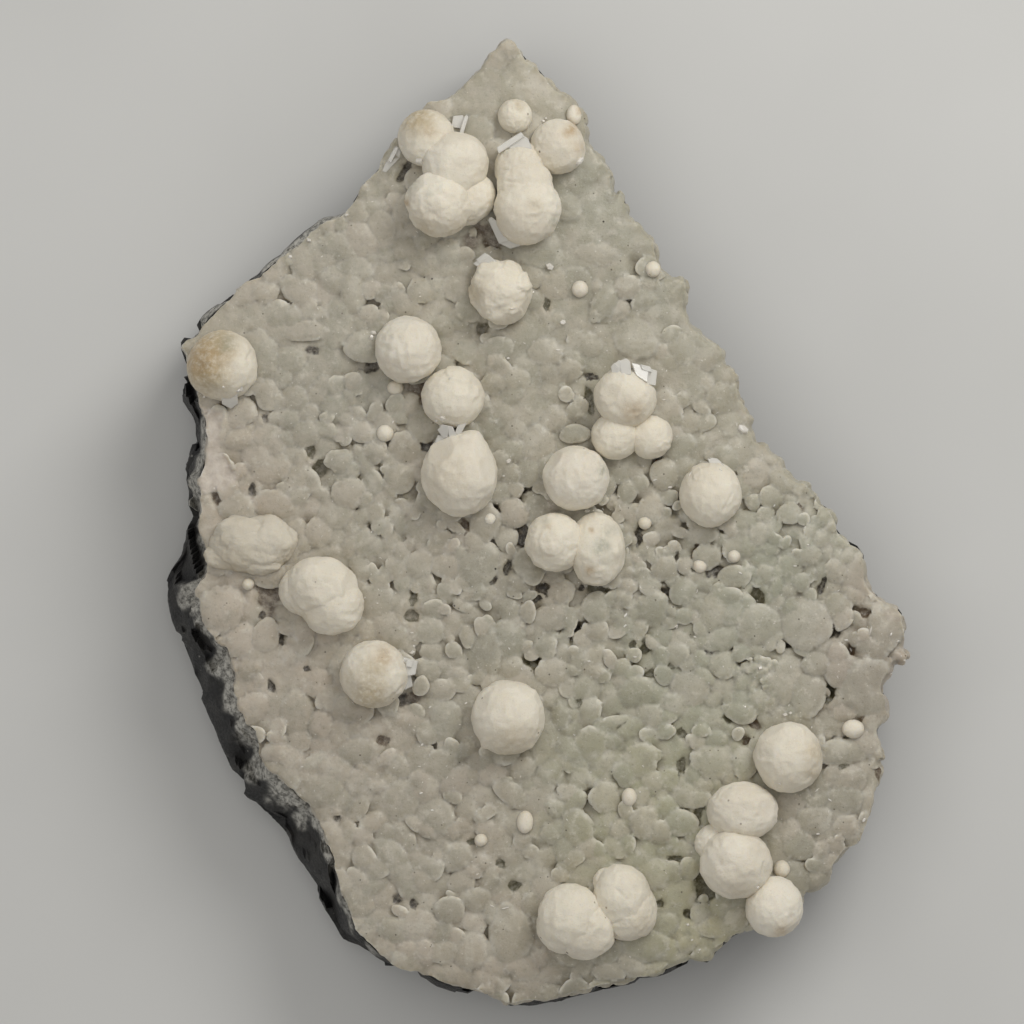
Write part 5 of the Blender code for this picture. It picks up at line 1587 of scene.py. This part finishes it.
def build_glints(carriers):
    """The small crystals, each standing on whatever lies below it."""
    graph = bpy.context.evaluated_depsgraph_get()
    trees = [BVHTree.FromObject(o, graph) for o in carriers]
    rng = random.Random(11)
    rows = [(u, v, a, b, t, 1.0) for u, v, a, b, t in GLINTS]
    tries = 0
    while len(rows) < len(GLINTS) + 210 and tries < 6000:
        tries += 1
        u, v = rng.uniform(190, 905), rng.uniform(50, 1000)
        if not inside_poly(np.array([(u, v)]), OUTLINE)[0]:
            continue
        # more of them on the rough right and lower parts than on the smooth top
        share = 0.25 + 0.75 * float(character(np.array([(u, v)]))[1][0])
        if rng.random() > share:
            continue
        rows.append((u, v, rng.uniform(1.4, 3.6), rng.uniform(0.7, 1.5), rng.uniform(0, 180), 0.0))
    verts, faces = [], []
    for u, v, a, b, turn, placed in rows:
        x, y = place(u, v)
        best, normal, which = None, None, 0
        for k, tree in enumerate(trees):
            hit, nrm, _, _ = tree.ray_cast(Vector((x, y, 0.2)), Vector((0, 0, -1)))
            if hit is not None and (best is None or hit.z > best.z):
                best, normal, which = hit, nrm, k
        if best is None or (not placed and which > 0):
            continue
        if normal.z < 0.25:
            normal = Vector((normal.x, normal.y, 0.25 + abs(normal.z))).normalized()
        tall = (0.45 if not placed else 0.55) * min(a, b) * UNIT
        c, s = math.cos(math.radians(turn)), math.sin(math.radians(turn))
        side = Vector((c, s, 0)).cross(normal).normalized()
        along = normal.cross(side).normalized()
        lean = rng.uniform(-0.35, 0.35)
        up = (normal + side * lean + along * rng.uniform(-0.35, 0.35)).normalized()
        n = rng.choice((4, 4, 5, 6))
        first = len(verts)
        spin = rng.uniform(0, 1)
        for layer, (grow, rise) in enumerate(((1.0, -1.6), (1.0, 0.7), (0.72, 1.0))):
            for k in range(n):
                t = (k + 0.5 * spin) / n * 2 * math.pi
                w = along * (math.cos(t) * a * 0.5 * UNIT * grow) + side * (math.sin(t) * b * 0.5 * UNIT * grow)
                verts.append(best + w + up * (rise * tall))
        for layer in range(2):
            for k in range(n):
                j = (k + 1) % n
                i = first + layer * n
                faces.append((i + k, i + j, i + n + j, i + n + k))
        faces.append(tuple(first + 2 * n + k for k in range(n)))
        faces.append(tuple(first + n - 1 - k for k in range(n)))
    me = bpy.data.meshes.new("apophyllite_small_crystals")
    me.from_pydata([tuple(p) for p in verts], [], faces)
    obj = bpy.data.objects.new("apophyllite_small_crystals", me)
    bpy.context.scene.collection.objects.link(obj)
    bm = bmesh.new()
    bm.from_mesh(me)
    bmesh.ops.recalc_face_normals(bm, faces=bm.faces[:])
    bm.to_mesh(me)
    bm.free()
    print("small crystals", len(faces))
    return obj


def apophyllite_material():
    m = Mat("apophyllite")
    edge = m.split(m.attr("edge").outputs["Color"])[0]
    cloud = m.noise(700, 4, 0.6)
    veil = m.noise(1.0, 3, 0.55, vector=m.stretch((420, 3600, 420)))
    lines = m.noise(1.0, 2, 0.5, vector=m.stretch((600, 5200, 900)))
    col = m.mix(m.ramp(cloud, 0.45, 0.75, 0, 0.7), (1.0, 0.955, 0.875), (0.95, 0.895, 0.80))
    col = m.mix(m.ramp(veil, 0.52, 0.72, 0, 0.8), col, (1.0, 0.975, 0.92))
    # painted highlight: the bevelled edges are whiter
    col = m.mix(m.math('MULTIPLY', edge, 0.9), col, (1.0, 0.985, 0.94))
    bump = m.bump(lines, 0.25, 0.00006)
    m.set(Base_Color=col, Roughness=m.ramp(cloud, 0.35, 0.75, 0.04, 0.20), IOR=1.535, Normal=bump)
    m.set(Transmission_Weight=0.42)
    vol = m.nt.nodes.new("ShaderNodeVolumeAbsorption")
    vol.inputs["Color"].default_value = (0.90, 0.90, 0.86, 1)
    vol.inputs["Density"].default_value = 20.0
    m.nt.links.new(vol.outputs[0], m.out.inputs["Volume"])
    return m.mat


def glint_material():
    m = Mat("apophyllite_white")
    cloud = m.noise(900, 3, 0.6)
    col = m.mix(m.ramp(cloud, 0.40, 0.65), (0.86, 0.82, 0.75), (1.0, 0.975, 0.92))
    m.set(Base_Color=col, Roughness=m.ramp(cloud, 0.35, 0.65, 0.08, 0.25), IOR=1.535)
    m.set(Transmission_Weight=0.25)
    return m.mat


# -------------------------------------------------------------- the basalt
def build_rock():
    turns, hidden = 440, 7
    ang = np.linspace(0, 2 * math.pi, turns, endpoint=False)
    crust = np.array([ray_reach(OUTLINE, HUB, a) for a in ang])
    deg = np.degrees(ang)
    reach = np.interp(deg, [0, 40, 100, 116, 124, 132, 138, 143, 148, 151, 249, 256, 262, 270, 280, 292, 300, 320, 345, 360],
                      [-11, -6, -6, 0, 4, 2, 0, 4, 3, 0, 0, 3, 4, 2, 1, 3, 0, -8, -11, -11])
    out = crust + reach
    for k, a in enumerate(ang):
        if 150.0 < deg[k] < 252.0:
            r = ray_reach(ROCK_LEFT, HUB, a, closed=False)
            if r > 0:
                out[k] = max(r, crust[k] + 1.0)
    jag = noise3(np.column_stack((ang * 60, np.zeros(turns), np.zeros(turns))), 1.0, 12) * 0.9
    out = out + jag
    out = round_corners(out[:, None], 1, 0.7)[:, 0]
    top, bot = BASALT_TOP, 0.0
    rows = []          # (radius in plan units, height in metres)
    for k in range(hidden):
        rows.append((crust * (0.35 + 0.6 * k / (hidden - 1)), np.full(turns, top - 0.0006)))
    step_out = out - crust
    for k in range(22):
        q = k / 21.0
        rows.append((crust - 2 + (step_out + 2) * q, top - 0.0003 - (top - 0.0078) * q ** 1.25 * np.clip(step_out / 14.0, 0.25, 1)))
    ztop = rows[-1][1]
    for k in range(1, 24):
        q = k / 23.0
        rows.append((out - 4 * q ** 2 - 24 * q ** 4, ztop * (1 - q)))
    for k in range(1, 9):
        q = k / 8.0
        rows.append(((out - 28) * (1 - 0.9 * q), np.zeros(turns)))
    R = np.array([r for r, _ in rows])
    Z = np.array([z for _, z in rows])
    U = HUB[0] + R * np.cos(ang)[None]
    V = HUB[1] - R * np.sin(ang)[None]
    X = (U - MID_U) * UNIT
    Y = (MID_V - V) * UNIT
    pts = np.column_stack((X.ravel(), Y.ravel(), Z.ravel()))
    nr = len(rows)
    # broken, faceted surface: each patch leans its own way
    rng = np.random.default_rng(77)
    seeds = rng.uniform((-0.056, -0.07, 0), (0.056, 0.07, 0.016), (1500, 3))
    lean = rng.normal(0, 0.50, (1500, 3))
    lift = rng.normal(0, 0.00022, 1500)
    push = np.zeros(len(pts))
    for a in range(0, len(pts), 4000):
        q = pts[a:a + 4000]
        d = ((q[:, None, :] - seeds[None]) ** 2).sum(-1)
        k = d.argmin(1)
        push[a:a + 4000] = ((q - seeds[k]) * lean[k]).sum(1) + lift[k]
    push += fractal(pts, 0.0022, 5, 3) * 0.00028 + fractal(pts, 0.0075, 15, 2) * 0.00065
    side = np.zeros((nr, turns))
    side[hidden + 1:hidden + 22] = 1.0
    side[hidden + 22:hidden + 45] = 1.0
    side[hidden + 45:] = 0.0
    edge_on = np.clip((step_out + 6) / 10.0, 0.25, 1.0)
    w = (side * edge_on[None]).ravel()
    nx, ny = np.tile(np.cos(ang), nr), np.tile(np.sin(ang), nr)
    slope = np.zeros((nr, turns))
    slope[hidden:hidden + 22] = 0.75
    slope[hidden + 22:hidden + 45] = 0.1
    up = slope.ravel()
    push = np.clip(push, -0.0018, 0.0010)
    side_on = push * w * (1 - up) * (0.55 + 0.45 * (up > 0.5))
    pts[:, 0] += nx * side_on
    pts[:, 1] += ny * side_on
    pts[:, 2] += push * w * up * 1.25
    under = np.zeros((nr, turns))
    under[hidden + 45:] = 1.0
    pts[:, 2] += under.ravel() * np.clip(np.abs(fractal(pts, 0.006, 8, 3)) * 0.0005, 0, 0.0008)
    pts[:, 2] = np.clip(pts[:, 2], 0.0, BASALT_TOP + 0.0002)
    faces = []
    idx = np.arange(nr * turns).reshape(nr, turns)
    for k in range(nr - 1):
        a, b = idx[k], np.roll(idx[k], -1)
        c, d = np.roll(idx[k + 1], -1), idx[k + 1]
        faces.append(np.column_stack((a, b, c, d)))
    Q = np.vstack(faces)
    T = np.vstack((Q[:, [0, 1, 2]], Q[:, [0, 2, 3]]))
    c_top, c_bot = len(pts), len(pts) + 1
    hub = place(*HUB)
    pts = np.vstack((pts, [(hub[0], hub[1], top - 0.0006), (hub[0], hub[1], 0.0)]))
    a, b = idx[0], np.roll(idx[0], -1)
    T = np.vstack((T, np.column_stack((np.full(turns, c_top), b, a))))
    a, b = idx[-1], np.roll(idx[-1], -1)
    T = np.vstack((T, np.column_stack((np.full(turns, c_bot), a, b))))
    obj = mesh_object("basalt_rough", pts, T.astype(np.int32))
    bm = bmesh.new()
    bm.from_mesh(obj.data)
    bmesh.ops.recalc_face_normals(bm, faces=bm.faces[:])
    bm.to_mesh(obj.data)
    bm.free()
    obj.data.set_sharp_from_angle(angle=math.radians(32))
    # pale altered band beside the crust, down the left side
    past = (R - crust[None]).ravel()
    P = np.column_stack((U.ravel(), V.ravel()))
    patch = 0.55 * noise2(P, 17, 41) + 0.35 * noise2(P, 7, 42) + 0.25 * noise2(P, 3.4, 43)
    left = step(P[:, 0], 420, 330)
    band = step(past, 15, 3) * left
    spots = np.zeros(len(P))
    for u, v, reach in ((193, 495, 14), (202, 542, 10), (187, 597, 15), (222, 668, 18), (230, 702, 13),
                        (246, 738, 14), (256, 772, 15), (277, 797, 20), (190, 342, 12), (300, 822, 12)):
        spots = np.maximum(spots, np.exp(-(((P[:, 0] - u) ** 2 + (P[:, 1] - v) ** 2) / reach ** 2)))
    pale = np.clip(band * (0.70 + patch) + spots * (0.9 + patch) * left - 0.18, 0, 1)
    pale = np.where(past < -1, 0, pale)
    pale[(hidden + 22) * turns:] *= 0.25
    pale = np.append(pale, [0, 0])
    paint(obj, "pale", np.column_stack((pale, pale * 0, pale * 0)))
    print("basalt", len(obj.data.polygons))
    return obj


def basalt_material():
    m = Mat("basalt")
    pale = m.split(m.attr("pale").outputs["Color"])[0]
    big = m.noise(300, 4, 0.6)
    fine = m.noise(2300, 5, 0.7)
    grain = m.cells(1900)
    col = m.mix(m.ramp(big, 0.35, 0.7), (0.010, 0.010, 0.011), (0.030, 0.029, 0.027))
    col = m.mix(m.ramp(fine, 0.60, 0.78, 0, 0.7), col, (0.095, 0.092, 0.085))
    col = m.mix(m.math('MULTIPLY', m.specks(900, 0.20, 0.10, (4, 4, 1)), 0.75), col, (0.26, 0.25, 0.23))
    mott = m.ramp(m.noise(1300, 5, 0.75), 0.36, 0.62)
    chalk = m.mix(mott, (0.115, 0.112, 0.100), (0.56, 0.545, 0.50))
    col = m.mix(m.ramp(pale, 0.12, 0.55), col, chalk)
    bump = m.bump(fine, 0.55, 0.00030)
    bump = m.bump(grain, 0.25, 0.00018, bump)
    m.set(Base_Color=col, Roughness=m.ramp(fine, 0.3, 0.7, 0.42, 0.78), IOR=1.55, Normal=bump)
    return m.mat


# ------------------------------------------------------------------ assemble
def main():
    crust, face = build_crust()
    finish_piece(crust, prehnite_material(), ["prehnite_crust"])
    rock = build_rock()
    finish_piece(rock, basalt_material(), ["basalt_matrix"])
    gyr = gyrolite_material()
    carriers = [crust]
    for name, spec in BALLS.items():
        obj = build_ball(name, spec, 36, SKIN.get(name, [CALM]))
        carriers.append(finish_piece(obj, gyr, [name]))
    for i, (u, v, r, stretch) in enumerate(BEADS):
        node = "gyrolite_bead_%02d" % (i + 1)
        obj = build_ball(node, [(u, v, r, 0.25, stretch)], 16, [(0.05, 0, 0, 0.006)])
        finish_piece(obj, gyr, [node])
    clear = apophyllite_material()
    for name, shapes in CRYSTALS.items():
        finish_piece(build_crystal(name, shapes), clear, [name])
    finish_piece(build_glints(carriers), glint_material())


def studio():
    me = bpy.data.meshes.new("floor")
    s = 3.0
    me.from_pydata([(-s, -s, 0), (s, -s, 0), (s, s, 0), (-s, s, 0)], [], [(0, 1, 2, 3)])
    floor = bpy.data.objects.new("floor", me)
    bpy.context.scene.collection.objects.link(floor)
    m = Mat("floor")
    col = m.mix(m.ramp(m.noise(14, 3, 0.5), 0.3, 0.7), (0.60, 0.60, 0.59), (0.64, 0.64, 0.63))
    m.set(Base_Color=col, Roughness=0.85)
    floor.data.materials.append(m.mat)
    world = bpy.data.worlds.new("studio")
    world.use_nodes = True
    bg = world.node_tree.nodes["Background"]
    bg.inputs["Color"].default_value = (1.0, 0.985, 0.955, 1)
    bg.inputs["Strength"].default_value = 0.365
    bpy.context.scene.world = world

    def light(name, where, size, power, colour=(1, 1, 1)):
        data = bpy.data.lights.new(name, 'AREA')
        data.shape = 'DISK'
        data.size = size
        data.energy = power
        data.color = colour
        obj = bpy.data.objects.new(name, data)
        bpy.context.scene.collection.objects.link(obj)
        obj.location = where
        d = Vector((0, 0, 0.015)) - Vector(where)
        obj.rotation_euler = d.to_track_quat('-Z', 'Y').to_euler()
        return obj

    light("key", (0.20, 0.29, 0.35), 0.28, 1.10, (1.0, 0.985, 0.945))
    light("fill", (-0.25, 0.10, 1.00), 0.9, 2.05, (1.0, 0.99, 0.96))

    cam = bpy.data.cameras.new("camera")
    height = 2.0
    cam.sensor_width = 36.0
    cam.sensor_fit = 'HORIZONTAL'
    cam.lens = 36.0 * (height - 0.022) / (1024 * UNIT)
    cam.clip_start = 0.05
    cam.clip_end = 20.0
    obj = bpy.data.objects.new("camera", cam)
    bpy.context.scene.collection.objects.link(obj)
    x, y = place(512, 512)
    obj.location = (x, y, height)
    obj.rotation_euler = (0, 0, 0)
    bpy.context.scene.camera = obj
    bpy.context.scene.view_settings.view_transform = 'Standard'


main()
studio()
